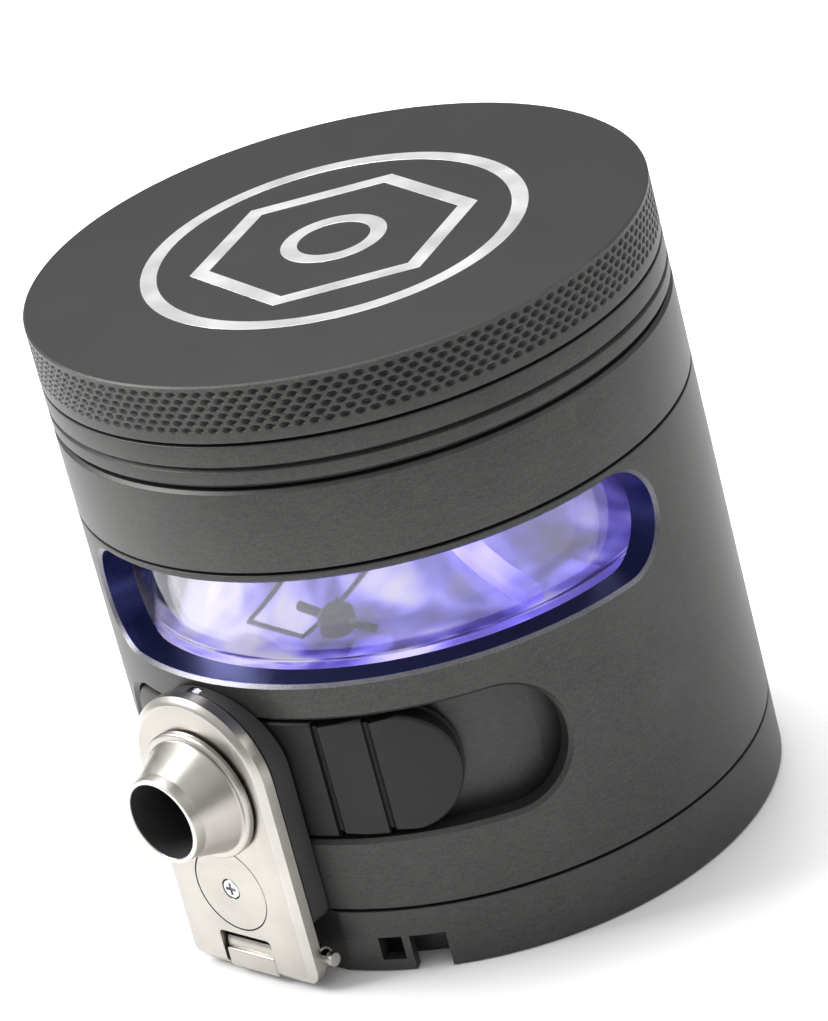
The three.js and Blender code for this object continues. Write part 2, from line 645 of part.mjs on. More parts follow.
function makeSlide() {
  const faceR = OUTER_R - SLIDE_SINK;
  const plate = bent(roundEnds(SLIDE_LEFT, SLIDE_RIGHT, ...SLIDE_ZS), BODY_INNER_R, faceR);
  const flange = bent(
    roundEnds(
      ...widened([SLIDE_LEFT, SLIDE_RIGHT], FLANGE_OVERLAP), ...widened(SLIDE_ZS, FLANGE_LIP - GAP / 2),
    ),
    BODY_INNER_R, BODY_INNER_R + FLANGE_T,
  );
  const grips = GRIP_ANGLES.map((angle) => bent(
    squareEnds(angle, angle + GRIP_WIDTH, POCKET_LOW - 1, POCKET_TOP + 1),
    faceR - GRIP_DEPTH, faceR + 1,
  ));
  const portTurn = toRadians(-SLIDE_TRAVEL);
  const hole = new THREE.CylinderGeometry(BORE_R, BORE_R, 8, 28);
  hole.translate(0, 2 - OUTER_R, FEED_Z).rotateZ(portTurn);
  const tongueLength = TRACK_T + GAP + TONGUE_REACH;
  const tongue = blockAt(
    [TONGUE_W, tongueLength, TONGUE_H],
    BODY_INNER_R + 0.5 - tongueLength / 2, TONGUE_AT, POCKET_LOW + FLANGE_LIP + TONGUE_H,
  );
  add('slide_button', cutFrom(joined(plate, flange, tongue), solid(hole), ...grips), DARK_SLIDE());
}

// ---------------------------------------------------------------- feed: auger, tube, motor
const TUBE_FRONT = -Math.sqrt((TRACK_R - TRACK_T - GAP) ** 2 - TUBE_R ** 2);

function makeAuger() {
  const flightYs = [TUBE_FRONT + AUGER_END_GAP, TUBE_BACK - 1];
  const length = flightYs[1] - flightYs[0];
  const section = new THREE.Shape();
  section.absellipse(0, 0, AUGER_R, AUGER_FLIGHT_T / 2, 0, 2 * Math.PI);
  const geometry = new THREE.ExtrudeGeometry(section, {
    depth: length, bevelEnabled: false, curveSegments: 3, steps: AUGER_TURNS * 8,
  });
  const position = geometry.attributes.position;
  const point = new THREE.Vector3();
  const axis = new THREE.Vector3(0, 0, 1);
  for (let i = 0; i < position.count; i += 1) {
    point.fromBufferAttribute(position, i);
    point.applyAxisAngle(axis, (2 * Math.PI * AUGER_TURNS * point.z) / length);
    position.setXYZ(i, point.x, point.y, point.z);
  }
  geometry.rotateX(-Math.PI / 2).translate(0, flightYs[0], FEED_Z);
  const coreBack = TUBE_BACK + AUGER_CORE_LENGTH;
  const core = rodY(AUGER_CORE_R, 0, FEED_Z, [flightYs[1] - 1, coreBack]);
  add('auger', joined(solid(geometry), core), STEEL());

  const couplingYs = [TUBE_BACK + GAP, COUPLING_BACK];
  const bore = rodY(AUGER_CORE_R + GAP / 2, 0, FEED_Z, [couplingYs[0] - 1, coreBack + GAP]);
  const shaftFront = COUPLING_BACK - SHAFT_IN_COUPLING;
  const rearBore = rodY(AUGER_CORE_R + GAP / 2, 0, FEED_Z, [shaftFront - GAP, COUPLING_BACK + 1]);
  const sleeve = rodY(COUPLING_R, 0, FEED_Z, couplingYs, 24);
  add('auger_coupling', cutFrom(sleeve, bore, rearBore), BLACK_PLASTIC());
  const shaftYs = [shaftFront, GEARBOX_FRONT + SHAFT_IN_GEARBOX];
  add('output_shaft', rodY(AUGER_CORE_R, 0, FEED_Z, shaftYs), STEEL());
}

function makeTube() {
  const outside = rodY(TUBE_R, 0, FEED_Z, [TUBE_FRONT, TUBE_BACK], 24);
  const inside = rodY(BORE_R, 0, FEED_Z, [TUBE_FRONT - 1, TUBE_BACK + 1], 24);
  const inlet = block(
    widened([-CHUTE_HALF_W, CHUTE_HALF_W], -INLET_MARGIN), widened(CHUTE_YS, -INLET_MARGIN),
    [FEED_Z + 1, FEED_Z + TUBE_R + 2],
  );
  add('auger_tube', cutFrom(outside, inside, inlet), CLEAR());
}

function makeMotor() {
  const halfW = MOTOR_W / 2;
  const gearboxYs = [GEARBOX_FRONT, GEARBOX_FRONT + GEARBOX_L];
  const zs = [FEED_Z - MOTOR_H / 2, FEED_Z + MOTOR_H / 2];
  const holeYs = [GEARBOX_FRONT - 1, GEARBOX_FRONT + SHAFT_IN_GEARBOX + GAP];
  const shaftHole = rodY(AUGER_CORE_R + GAP, 0, FEED_Z, holeYs);
  add('gearbox', cutFrom(block([-halfW, halfW], gearboxYs, zs), shaftHole), material(0xb9a26a, 0.4, 0.9));
  const motorYs = [gearboxYs[1] + GAP, gearboxYs[1] + GAP + MOTOR_L];
  const can = joined(
    rodY(halfW, 0, FEED_Z, motorYs, 28),
    rodY(MOTOR_BOSS[0], 0, FEED_Z, [motorYs[1] - 0.5, motorYs[1] + MOTOR_BOSS[1]]),
  );
  const flats = block([-halfW, halfW], widened(motorYs, 1), zs);
  add('motor', can.intersect(flats), STEEL());
  return motorYs;
}

// ---------------------------------------------------------------- chassis, power and base
function screwPlaces() {
  return Array.from({ length: SCREW_COUNT }, (_, i) => {
    const turn = toRadians(360 * (i / SCREW_COUNT));
    return [SCREW_RING_R * Math.sin(turn), -SCREW_RING_R * Math.cos(turn)];
  });
}

const SPIGOT_TOP = CHASSIS_LOW - GAP;
const BOARD_LOW = BASE_FLOOR + GAP;
const BOARD_TOP = BOARD_LOW + BOARD_T;
const BOARD_R = SPIGOT_R - SPIGOT_WALL - 3 * GAP;
const PORT_Z = BASE_FLOOR + GAP + PORT[2] / 2;
const PORT_BACK = OUTER_R - PORT_SINK;

function makeChassis(motorYs) {
  const radius = BODY_INNER_R - GAP;
  const deck = disc(radius, [CHASSIS_LOW, CHASSIS_TOP]);
  const cradleHalf = MOTOR_W / 2 + GAP + CRADLE_WALL;
  const cradleYs = [GEARBOX_FRONT + 1, motorYs[1] - 3];
  const cradle = block([-cradleHalf, cradleHalf], cradleYs, [CHASSIS_TOP - 0.5, FEED_Z]);
  const motorSpace = block(
    widened([-MOTOR_W / 2, MOTOR_W / 2], GAP), widened(cradleYs, 1),
    [FEED_Z - MOTOR_H / 2 - GAP, FEED_Z + 1],
  );
  const saddleYs = [TUBE_BACK - 2 - SADDLE[1], TUBE_BACK - 2];
  const saddle = block([-SADDLE[0], SADDLE[0]], saddleYs, [CHASSIS_TOP - 0.5, FEED_Z - SADDLE[1]]);
  const saddleSpace = rodY(TUBE_R + GAP, 0, FEED_Z, widened(saddleYs, 1), 24);
  const postZs = [BOARD_TOP + GAP, CHASSIS_LOW + 0.5];
  const posts = screwPlaces().map(([x, y]) => rodZ(SCREW_POST_R, x, y, postZs));
  const bores = screwPlaces().map(
    ([x, y]) => rodZ(SCREW_R + SCREW_CLEARANCE, x, y, [BOARD_TOP - 1, CHASSIS_LOW]),
  );
  const springPost = rodZ(SPRING_R - 1, ...SPRING_AT, [CHASSIS_TOP - 0.5, CHASSIS_TOP + SPRING_H + 1]);
  const solids = joined(deck, cradle, saddle, springPost, ...posts);
  add('chassis', cutFrom(solids, motorSpace, saddleSpace, ...bores), BLACK_PLASTIC());

  const spring = turned([
    [SPRING_R - 1 + GAP, 0], [SPRING_R, 0], [SPRING_R, SPRING_H], [SPRING_R - 1 + GAP, SPRING_H],
  ], 20).translate([...SPRING_AT, CHASSIS_TOP + GAP]);
  add('return_spring', spring, STEEL());

  const switchAngle = TONGUE_AT + SLIDE_TRAVEL + SWITCH_LEAD;
  const switchR = TRACK_R - TRACK_T - 1 - SWITCH[1] / 2;
  const switchZ = CHASSIS_TOP + GAP + SWITCH[2] / 2;
  add('slide_switch', blockAt(SWITCH, switchR, switchAngle, switchZ), BLACK_PLASTIC());

  const strapHalf = MOTOR_W / 2 + GAP + CRADLE_WALL;
  const strapYs = [motorYs[0] + 3, motorYs[0] + 3 + STRAP_W];
  const strapTop = FEED_Z + MOTOR_H / 2 + GAP + STRAP_T;
  const strap = cutFrom(
    block([-strapHalf, strapHalf], strapYs, [FEED_Z + GAP, strapTop]),
    block([-MOTOR_W / 2 - GAP, MOTOR_W / 2 + GAP], widened(strapYs, 1), [FEED_Z - 1, strapTop - STRAP_T]),
  );
  add('motor_strap', strap, STEEL());
}

function makePower() {
  const board = disc(BOARD_R, [BOARD_LOW, BOARD_TOP]);
  const tall = [BOARD_LOW - 1, BOARD_TOP + 1];
  const portXs = [-PORT[0] / 2, PORT[0] / 2];
  const portNotch = block(widened(portXs, GAP), [PORT_BACK - PORT[1] - GAP, BOARD_R + 1], tall);
  const holes = screwPlaces().map(([x, y]) => rodZ(SCREW_R + SCREW_CLEARANCE, x, y, tall));
  add('main_board', cutFrom(board, portNotch, ...holes), BOARD());

  const batteryLow = CHASSIS_LOW - 2 * GAP - BATTERY[2];
  add('battery', block(
    [-BATTERY[0] / 2, BATTERY[0] / 2], [-BATTERY[1] / 2, BATTERY[1] / 2],
    [batteryLow, batteryLow + BATTERY[2]],
  ), FOIL());

  const shellYs = [PORT_BACK - PORT[1], PORT_BACK];
  const portZs = [PORT_Z - PORT[2] / 2, PORT_Z + PORT[2] / 2];
  const outside = block(portXs, shellYs, portZs);
  const inside = block(
    widened(portXs, -PORT_SHEET), [shellYs[0] + 1, shellYs[1] + 1], widened(portZs, -PORT_SHEET),
  );
  const [tongueW, tongueT] = PORT_TONGUE;
  const tongue = block(
    [-tongueW / 2, tongueW / 2], [shellYs[0] + 0.5, shellYs[1] - 1.5],
    [PORT_Z - tongueT / 2, PORT_Z + tongueT / 2],
  );
  add('charge_port', joined(cutFrom(outside, inside), tongue), STEEL());
}

/** The lanyard notch: an open mouth beside a thin bar with a small eye through it. */
function lanyardCuts() {
  const wallR = OUTER_R - LOOP_WALL;
  const behind = bent(
    squareEnds(NOTCH_FROM - 0.5, NOTCH_TO, -1, NOTCH_H, 3), OUTER_R - BASE_WALL - 1, wallR,
  );
  const mouth = bent(
    squareEnds(NOTCH_BAR + NOTCH_BAR_W / 2, NOTCH_TO, -1, NOTCH_H, 3), wallR - 0.5, OUTER_R + 1,
  );
  const eye = bent(
    squareEnds(NOTCH_FROM, NOTCH_BAR - NOTCH_BAR_W / 2, EYE_SILL, NOTCH_H, 3), wallR - 0.5, OUTER_R + 1,
  );
  return [behind, mouth, eye];
}

function makeBase() {
  const innerR = OUTER_R - BASE_WALL - GAP;
  const spigotIn = SPIGOT_R - SPIGOT_WALL;
  const high = BASE_TOP - HALF_GAP;
  const cup = turned([
    [0, 0], [OUTER_R, 0], [OUTER_R, high], [SPIGOT_R, high], [SPIGOT_R, SPIGOT_TOP],
    [spigotIn, SPIGOT_TOP], [spigotIn, high - SPIGOT_STEP[0]], [innerR, high - SPIGOT_STEP[1]],
    [innerR, BASE_FLOOR], [0, BASE_FLOOR],
  ]);
  const hingeFlat = block([-OUTER_R, OUTER_R], [-OUTER_R - 1, -FLAT_OUT], [-1, BASE_TOP + 1]);
  const tenonSlot = block(
    widened([-TENON_HALF_W, TENON_HALF_W], GAP), [-OUTER_R, -innerR + 2],
    widened([PIN_Z - TENON_BELOW, PIN_Z + TENON_ABOVE], GAP),
  );
  const portSlot = block(
    widened([-PORT[0] / 2, PORT[0] / 2], GAP), [PORT_BACK - PORT[1] - 1, OUTER_R + 1],
    widened([PORT_Z - PORT[2] / 2, PORT_Z + PORT[2] / 2], GAP),
  );
  const padGroove = turned([
    [PAD_INNER_R - GAP, -1], [PAD_OUTER_R + GAP, -1],
    [PAD_OUTER_R + GAP, PAD_T + GAP], [PAD_INNER_R - GAP, PAD_T + GAP],
  ]);
  const screwHoles = screwPlaces().flatMap(([x, y]) => [
    rodZ(SCREW_R + SCREW_CLEARANCE, x, y, [-1, BASE_FLOOR + 1]),
    rodZ(SCREW_HEAD_R + SCREW_CLEARANCE, x, y, [-1, PAD_T + 2 * GAP + SCREW_HEAD_H]),
  ]);
  const cuts = [hingeFlat, tenonSlot, portSlot, padGroove, ...screwHoles, ...lanyardCuts()];
  add('base_cup', cutFrom(cup, ...cuts), GUNMETAL());
  add('foot_pad', turned([
    [PAD_INNER_R, 0], [PAD_OUTER_R, 0], [PAD_OUTER_R, PAD_T], [PAD_INNER_R, PAD_T],
  ]), RUBBER());
  const headZs = [PAD_T + GAP, PAD_T + GAP + SCREW_HEAD_H];
  screwPlaces().forEach(([x, y], i) => {
    add(`base_screw_${i + 1}`, joined(
      rodZ(SCREW_HEAD_R, x, y, headZs), rodZ(SCREW_R, x, y, [headZs[0] + 0.2, CHASSIS_LOW - 2 * GAP], 12),
    ), STEEL());
  });
}

// ---------------------------------------------------------------- hinged nozzle door
function doorOutline(inset, low) {
  const half = DOOR_HALF_W - inset;
  const archZ = DOOR_TOP - DOOR_HALF_W;
  const corner = DOOR_CORNER;
  const outline = new THREE.Shape();
  outline.moveTo(-half + corner, low);
  outline.lineTo(half - corner, low);
  outline.absarc(half - corner, low + corner, corner, -Math.PI / 2, 0, false);
  outline.lineTo(half, archZ);
  outline.absarc(0, archZ, half, 0, Math.PI, false);
  outline.lineTo(-half, low + corner);
  outline.absarc(-half + corner, low + corner, corner, Math.PI, 1.5 * Math.PI, false);
  return outline;
}

function makeDoor() {
  const slotHalf = KNUCKLE_HALF_W + KNUCKLE_GAP;
  const plate = frontPlate(doorOutline(0, DOOR_BOTTOM), DOOR_FACE, DOOR_BACK);
  const ears = [[-DOOR_HALF_W, -slotHalf + 0.1], [slotHalf - 0.1, DOOR_HALF_W]].map(
    (xs) => rodX(EAR_R, -PIN_OUT, PIN_Z, xs, 20),
  );
  const knuckleSlot = block([-slotHalf, slotHalf], [-DOOR_FACE - 1, -PIN_OUT + EAR_R + 1], [-1, SLOT_TOP]);
  const pinHole = rodX(PIN_R + GAP / 3, -PIN_OUT, PIN_Z, [-DOOR_HALF_W - 1, DOOR_HALF_W + 1]);
  const boreHole = rodY(NOZZLE_SPIGOT_R + GAP, 0, FEED_Z, [-DOOR_FACE - 1, -DOOR_BACK + 1], 28);
  const capSeat = rodY(CAP_R + HALF_GAP, 0, CAP_Z, [-DOOR_FACE - 1, -DOOR_FACE + CAP_T + GAP], 28);
  const screwHole = rodY(CAP_SHAFT_R + GAP, 0, CAP_Z, [-DOOR_FACE, -DOOR_BACK + 1]);
  const cuts = [knuckleSlot, pinHole, boreHole, capSeat, screwHole];
  add('door_plate', cutFrom(joined(plate, ...ears), ...cuts), NICKEL());

  const magnetSeat = rodY(DOOR_MAGNET_R + HALF_GAP, 0, LATCH_Z, [-BACKING_FRONT - 1, -BACKING_FRONT + 1]);
  const backing = frontPlate(doorOutline(BACKING_INSET, BACKING_FOOT), BACKING_FRONT, OUTER_R - 5);
  const hollow = rodZ(BODY_CLEAR_R, 0, 0, [-1, TOP], FACETS);
  const spigotHole = rodY(NOZZLE_SPIGOT_R + GAP, 0, FEED_Z, [-DOOR_BACK, -OUTER_R + 6], 28);
  const gasketDeep = BODY_CLEAR_R + GASKET_DEPTH - GAP;
  const grooveRing = gasketRing(GASKET_R - HALF_GAP, GASKET_W + GAP, gasketDeep + HALF_GAP);
  add('door_backing', cutFrom(backing, hollow, spigotHole, grooveRing, magnetSeat), BLACK_PLASTIC());

  const saddle = rodZ(OUTER_R + HALF_GAP, 0, 0, [-1, TOP], FACETS);
  add('door_gasket', cutFrom(gasketRing(GASKET_R, GASKET_W, gasketDeep), saddle), RUBBER());
  const magnetYs = [-BACKING_FRONT + 0.1, -BACKING_FRONT + 0.1 + DOOR_MAGNET_H];
  add('door_magnet', rodY(DOOR_MAGNET_R, 0, LATCH_Z, magnetYs), MAGNET());
}

function gasketRing(radius, width, outer) {
  return turnedOutwards([
    [radius, OUTER_R - 5], [radius + width, OUTER_R - 5], [radius + width, outer], [radius, outer],
  ], FEED_Z);
}

function makeNozzle() {
  const seat = DOOR_FACE + GAP;
  const mouth = DOOR_FACE + NOZZLE_OUT;
  const mouthR = BORE_R + NOZZLE_WALL;
  const flangeTop = seat + NOZZLE_FLANGE_T;
  add('nozzle', turnedOutwards([
    [BORE_R, DOOR_BACK - SPIGOT_LENGTH], [NOZZLE_SPIGOT_R, DOOR_BACK - SPIGOT_LENGTH],
    [NOZZLE_SPIGOT_R, seat],
    [NOZZLE_FLANGE_R, seat], [NOZZLE_FLANGE_R, flangeTop - 0.3], [NOZZLE_CONE_R, flangeTop],
    [mouthR + 0.15, mouth - NOZZLE_LIP], [mouthR, mouth], [BORE_R, mouth],
  ], FEED_Z), NICKEL());
}

function makeCap() {
  const shaftHole = rodY(CAP_SCREW_R + 0.1, 0, CAP_Z, [-DOOR_FACE - 1, -DOOR_FACE + CAP_T + 1]);
  const disc = rodY(CAP_R, 0, CAP_Z, [-DOOR_FACE, -DOOR_FACE + CAP_T], 28);
  add('magnet_cap', cutFrom(disc, shaftHole), NICKEL());
  const head = rodY(CAP_SCREW_R, 0, CAP_Z, [-DOOR_FACE, -DOOR_FACE + CAP_SCREW_H]);
  const shaft = rodY(CAP_SHAFT_R, 0, CAP_Z, [-DOOR_FACE + CAP_SCREW_H / 2, -DOOR_BACK - 0.1], 12);
  const [long, narrow, deep] = DRIVER;
  const driver = [[long, narrow], [narrow, long]].map(
    ([x, z]) => block([-x, x], [-DOOR_FACE - 1, -DOOR_FACE + deep], [CAP_Z - z, CAP_Z + z]),
  );
  add('cap_screw', cutFrom(joined(head, shaft), ...driver), STEEL());
}

function makeHinge() {
  const xs = [-KNUCKLE_HALF_W, KNUCKLE_HALF_W];
  const foot = FLAT_OUT + GAP;
  const shoulder = PIN_Z - KNUCKLE_SHOULDER;
  const lower = block(xs, [-DOOR_FACE + 0.1, -foot], [DOOR_BOTTOM, shoulder]);
  const barrel = rodX(KNUCKLE_R, -PIN_OUT, PIN_Z, xs, 20);
  const above = block(widened(xs, 1), [-DOOR_FACE, -foot], [PIN_Z + KNUCKLE_TOP, PIN_Z + KNUCKLE_R + 1]);
  const tenon = block(
    [-TENON_HALF_W, TENON_HALF_W], [-foot - 0.5, TENON_SHOULDER + GAP - (OUTER_R - BASE_WALL - GAP)],
    [PIN_Z - TENON_BELOW, PIN_Z + TENON_ABOVE],
  );
  const pinHole = rodX(PIN_R + PIN_CLEARANCE, -PIN_OUT, PIN_Z, [xs[0] - 1, xs[1] + 1]);
  add('hinge_knuckle', cutFrom(joined(lower, barrel, tenon), above, pinHole), NICKEL());
  const pinHalf = DOOR_HALF_W - 0.1;
  add('hinge_pin', rodX(PIN_R, -PIN_OUT, PIN_Z, [-pinHalf, pinHalf]), STEEL());
}

makeLid();
makeToothPlate();
makeCollar();
makeBowl();
makeLights();
makeStirrer();
makeBody();
makeTrack();
makeSlide();
makeAuger();
makeTube();
const motorYs = makeMotor();
makeChassis(motorYs);
makePower();
makeBase();
makeDoor();
makeNozzle();
makeCap();
makeHinge();

export default assembly;
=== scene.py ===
"""Looks of a pocket hand grinder with a lit catch bowl and a hinged nozzle door, around its CAD frame."""
import json
import math

import bmesh
import bpy
from mathutils import Matrix, Vector


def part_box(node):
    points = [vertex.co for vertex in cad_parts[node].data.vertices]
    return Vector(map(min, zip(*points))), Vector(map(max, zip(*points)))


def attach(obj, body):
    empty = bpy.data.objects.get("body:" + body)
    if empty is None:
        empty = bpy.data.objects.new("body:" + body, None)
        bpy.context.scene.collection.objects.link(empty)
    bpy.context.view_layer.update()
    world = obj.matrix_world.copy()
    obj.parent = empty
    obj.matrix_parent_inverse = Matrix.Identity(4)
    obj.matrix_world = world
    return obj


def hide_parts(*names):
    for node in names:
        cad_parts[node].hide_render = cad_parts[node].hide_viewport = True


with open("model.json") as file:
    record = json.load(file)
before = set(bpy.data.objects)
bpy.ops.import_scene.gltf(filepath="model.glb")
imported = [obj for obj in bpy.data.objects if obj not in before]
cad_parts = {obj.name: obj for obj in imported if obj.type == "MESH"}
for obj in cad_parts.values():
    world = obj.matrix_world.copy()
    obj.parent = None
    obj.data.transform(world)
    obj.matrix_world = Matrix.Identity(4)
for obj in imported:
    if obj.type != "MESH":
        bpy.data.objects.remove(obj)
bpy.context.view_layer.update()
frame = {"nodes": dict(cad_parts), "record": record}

MM = 0.001
TURN = 2 * math.pi


def box_mm(node):
    """Lowest and highest corners of a CAD node, in millimetres."""
    low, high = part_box(node)
    return low / MM, high / MM


# ---------------------------------------------------------------- sizes, in millimetres, from the frame
LID_HIGH = box_mm("lid")[1]
BODY_LOW, BODY_HIGH = box_mm("body_shell")
COLLAR_LOW, COLLAR_HIGH = box_mm("collar")
PLATE_LOW = box_mm("tooth_plate")[0]
BASE_HIGH = box_mm("base_cup")[1]
SLEEVE_LOW, SLEEVE_HIGH = box_mm("clear_sleeve")
BOWL_LOW, BOWL_HIGH = box_mm("chamber_bowl")
DOOR_LOW, DOOR_HIGH = box_mm("door_plate")
BACKING_LOW = box_mm("door_backing")[0]
NOZZLE_LOW, NOZZLE_HIGH = box_mm("nozzle")
CAP_LOW, CAP_HIGH = box_mm("magnet_cap")
KNUCKLE_LOW, KNUCKLE_HIGH = box_mm("hinge_knuckle")
PORT_LOW, PORT_HIGH = box_mm("charge_port")
STIRRER_LOW = box_mm("stirrer")[0]
RING_LOW, RING_HIGH = box_mm("friction_ring")
MAGNET_LOW, MAGNET_HIGH = box_mm("lid_magnet")

OUTER_R = BODY_HIGH.x
GAP = 0.3
RING_W = 1.3
RING_STEP = 3.2
HALF_GAP = GAP / 2
TOP = LID_HIGH.z
BASE_TOP = BODY_LOW.z - HALF_GAP
BODY_TOP = BODY_HIGH.z + HALF_GAP
COLLAR_TOP = COLLAR_HIGH.z + HALF_GAP
RIM_TOP = RING_LOW.z - GAP + RING_STEP
BODY_WALL = 3.2
BODY_INNER_R = OUTER_R - BODY_WALL
SPIGOT_R = BODY_INNER_R - GAP
CHAMBER_R = RING_HIGH.x - RING_W - GAP
CHAMBER_ROOF = TOP - 2.6
CHAMBER_FLOOR = PLATE_LOW.z + 2.2
POST_R = 5.2

# The long holes: their ends in degrees round the body from the front, and their heights
WINDOW_TOP, WINDOW_H = BODY_TOP - 1.05, 11.2
POCKET_LOW, POCKET_H = BASE_TOP + 8.0, 13.55
WINDOW = dict(start=-29.0, end=96.3, low=WINDOW_TOP - WINDOW_H, high=WINDOW_TOP)
POCKET = dict(start=-31.5, end=66.3, low=POCKET_LOW, high=POCKET_LOW + POCKET_H)
FEED_Z = (NOZZLE_LOW.z + NOZZLE_HIGH.z) / 2
BORE_R = 4.1
DOOR_FACE = -DOOR_LOW.y
DOOR_BACK = DOOR_FACE - 1.8
DOOR_HALF_W = DOOR_HIGH.x
PIN_OUT = DOOR_FACE - 2.1
PIN_Z = 3.35
CAP_Z = (CAP_LOW.z + CAP_HIGH.z) / 2
BODY_CENTRE_Z = TOP / 2

# Sizes of shapes that a node's box doesn't give
TOOTH_RADIAL = 1.1          # half sizes of a diamond tooth
TOOTH_ALONG = 2.2
TOOTH_ROW_PITCH = 2.8
TOOTH_SPACING = 2.4
TOOTH_END_GAP = 0.6
SIEVE_R = 1.6
SIEVE_SPACING = 1.9
MAGNET_SEAT_R = 4.3
MAGNET_SEAT_H = 2.3
BOWL_WALL = 1.3
SLEEVE_WALL = 1.2
BOWL_FLOOR_T = 1.2
STIRRER_XY = (6.8, -18.2)
STIRRER_ARM = 5.2
CHUTE_HALF_W = 3.6
CHUTE_YS = (-20.0, -9.0)
LOOP_WALL = 1.4
BASE_WALL = 2.8
SCREW_RING_R = 23
PAD_R = (16.7, 26.8)        # inside and outside of the foot pad
LOOP = (22.5, 35.7)         # ends of the lanyard loop, in degrees
LOOP_TOP = 3.95
SPIGOT_HOLE_R = 5.2
SLIDE_FLANGE = 0.45
SLIDE_ROUND = 0.45
SLIDE_TRAVEL = 19.5         # degrees
GRIP_W = 1.5                # degrees
GRIP_DEPTH = 0.5
LATCH_HOLE_R = 1.45
PIN_HOLE_R = 0.7
EAR_R = 1.15
CAP_R = 4.65
CAP_HOLE_R = 4.76
FLANGE_R = 7.0
CONE_R = (6.25, 4.75)        # at the flange and at the lip
LIP_R = 4.62
CAP_SCREW_R = 1.05


# ---------------------------------------------------------------- mesh helpers
def make_piece(name, points, faces, sharp_angle=32):
    """A mesh object from points in millimetres, with outward faces and smooth shading between sharp edges."""
    mesh = bpy.data.meshes.new(name)
    mesh.from_pydata([tuple(v * MM for v in p) for p in points], [], faces)
    tidy_mesh(mesh, sharp_angle)
    piece = bpy.data.objects.new(name, mesh)
    bpy.context.scene.collection.objects.link(piece)
    return piece


def tidy_mesh(mesh, sharp_angle=32):
    work = bmesh.new()
    work.from_mesh(mesh)
    bmesh.ops.remove_doubles(work, verts=work.verts, dist=1e-7)
    bmesh.ops.dissolve_degenerate(work, edges=work.edges, dist=1e-7)
    bmesh.ops.recalc_face_normals(work, faces=work.faces)
    work.to_mesh(mesh)
    work.free()
    mesh.shade_smooth()
    mesh.set_sharp_from_angle(angle=math.radians(sharp_angle))


def fillet(corners, steps=5):
    """A closed outline of (a, b, radius) corners as points, with each corner rounded by its radius."""
    points = []
    count = len(corners)
    for i, (x, y, radius) in enumerate(corners):
        here = Vector((x, y))
        before = Vector(corners[i - 1][:2]) - here
        after = Vector(corners[(i + 1) % count][:2]) - here
        if radius <= 0 or before.length < 1e-6 or after.length < 1e-6:
            points.append((x, y))
            continue
        half = before.angle(after) / 2
        reach = min(radius / max(math.tan(half), 1e-6), 0.49 * before.length, 0.49 * after.length)
        start = here + before.normalized() * reach
        end = here + after.normalized() * reach
        for k in range(steps + 1):
            t = k / steps
            point = start * (1 - t) ** 2 + here * 2 * t * (1 - t) + end * t ** 2
            points.append((point.x, point.y))
    return points


def lathe(name, corners, segments=192, shift=None, steps=5, sharp_angle=32):
    """A ring or disc turned about Z from (radius, height, rounding) corners."""
    profile = fillet(corners, steps)
    points, faces = [], []
    rows = len(profile)
    for i in range(segments):
        turn = TURN * i / segments
        for j, (radius, height) in enumerate(profile):
            r = radius + (shift(turn, radius, height) if shift else 0)
            points.append((r * math.sin(turn), -r * math.cos(turn), height))
            across = ((i + 1) % segments) * rows
            below = (j + 1) % rows
            faces.append((i * rows + j, i * rows + below, across + below, across + j))
    return make_piece(name, points, faces, sharp_angle)


def turned_outwards(name, corners, z, segments):
    """A ring or disc turned about an axis out of the front at height z; corners give the distance out."""
    piece = lathe(name, corners, segments)
    spin = Matrix.Rotation(math.radians(90), 4, "X")
    piece.data.transform(Matrix.Translation((0, 0, z * MM)) @ spin)
    tidy_mesh(piece.data)
    return piece


def stadium(hole, grow):
    """Stations (angle, half height) along a long hole with half-round ends, grown by an offset."""
    half = (hole["high"] - hole["low"]) / 2
    to_angle = 180 / (math.pi * OUTER_R)
    left, right = hole["start"] + half * to_angle, hole["end"] - half * to_angle
    size = half + grow
    arcs = [math.pi / 2 * k / 14 for k in range(14)]
    head = [(left - size * math.cos(t) * to_angle, size * math.sin(t)) for t in arcs]
    tail = [(right + size * math.cos(t) * to_angle, size * math.sin(t)) for t in reversed(arcs)]
    count = max(2, int((right - left) / 1.5))
    inner = [left + (right - left) * k / count for k in range(count + 1)]
    return head + [(a, size) for a in inner if left <= a <= right] + tail


def bent_loft(name, hole, rings):
    """A block that follows the round wall, from rings of (radius, growth) closed by strips at both ends."""
    middle = (hole["low"] + hole["high"]) / 2
    points, faces = [], []
    for radius, grow in rings:
        stations = stadium(hole, grow)
        lower = [(a, middle - h) for a, h in stations]
        upper = [(a, middle + h) for a, h in stations[-2:0:-1]]
        for angle, z in lower + upper:
            turn = math.radians(angle)
            points.append((radius * math.sin(turn), -radius * math.cos(turn), z))
    count = len(stations)
    size = 2 * count - 2
    for k in range(len(rings) - 1):
        for i in range(size):
            j = (i + 1) % size
            faces.append((k * size + i, k * size + j, (k + 1) * size + j, (k + 1) * size + i))
    for base in (0, (len(rings) - 1) * size):
        for i in range(count - 1):
            a, b = base + i, base + i + 1
            c, d = base + (size - i - 1) % size, base + (size - i) % size
            faces.append(tuple(dict.fromkeys((a, b, c, d))))
    return make_piece(name, points, faces)


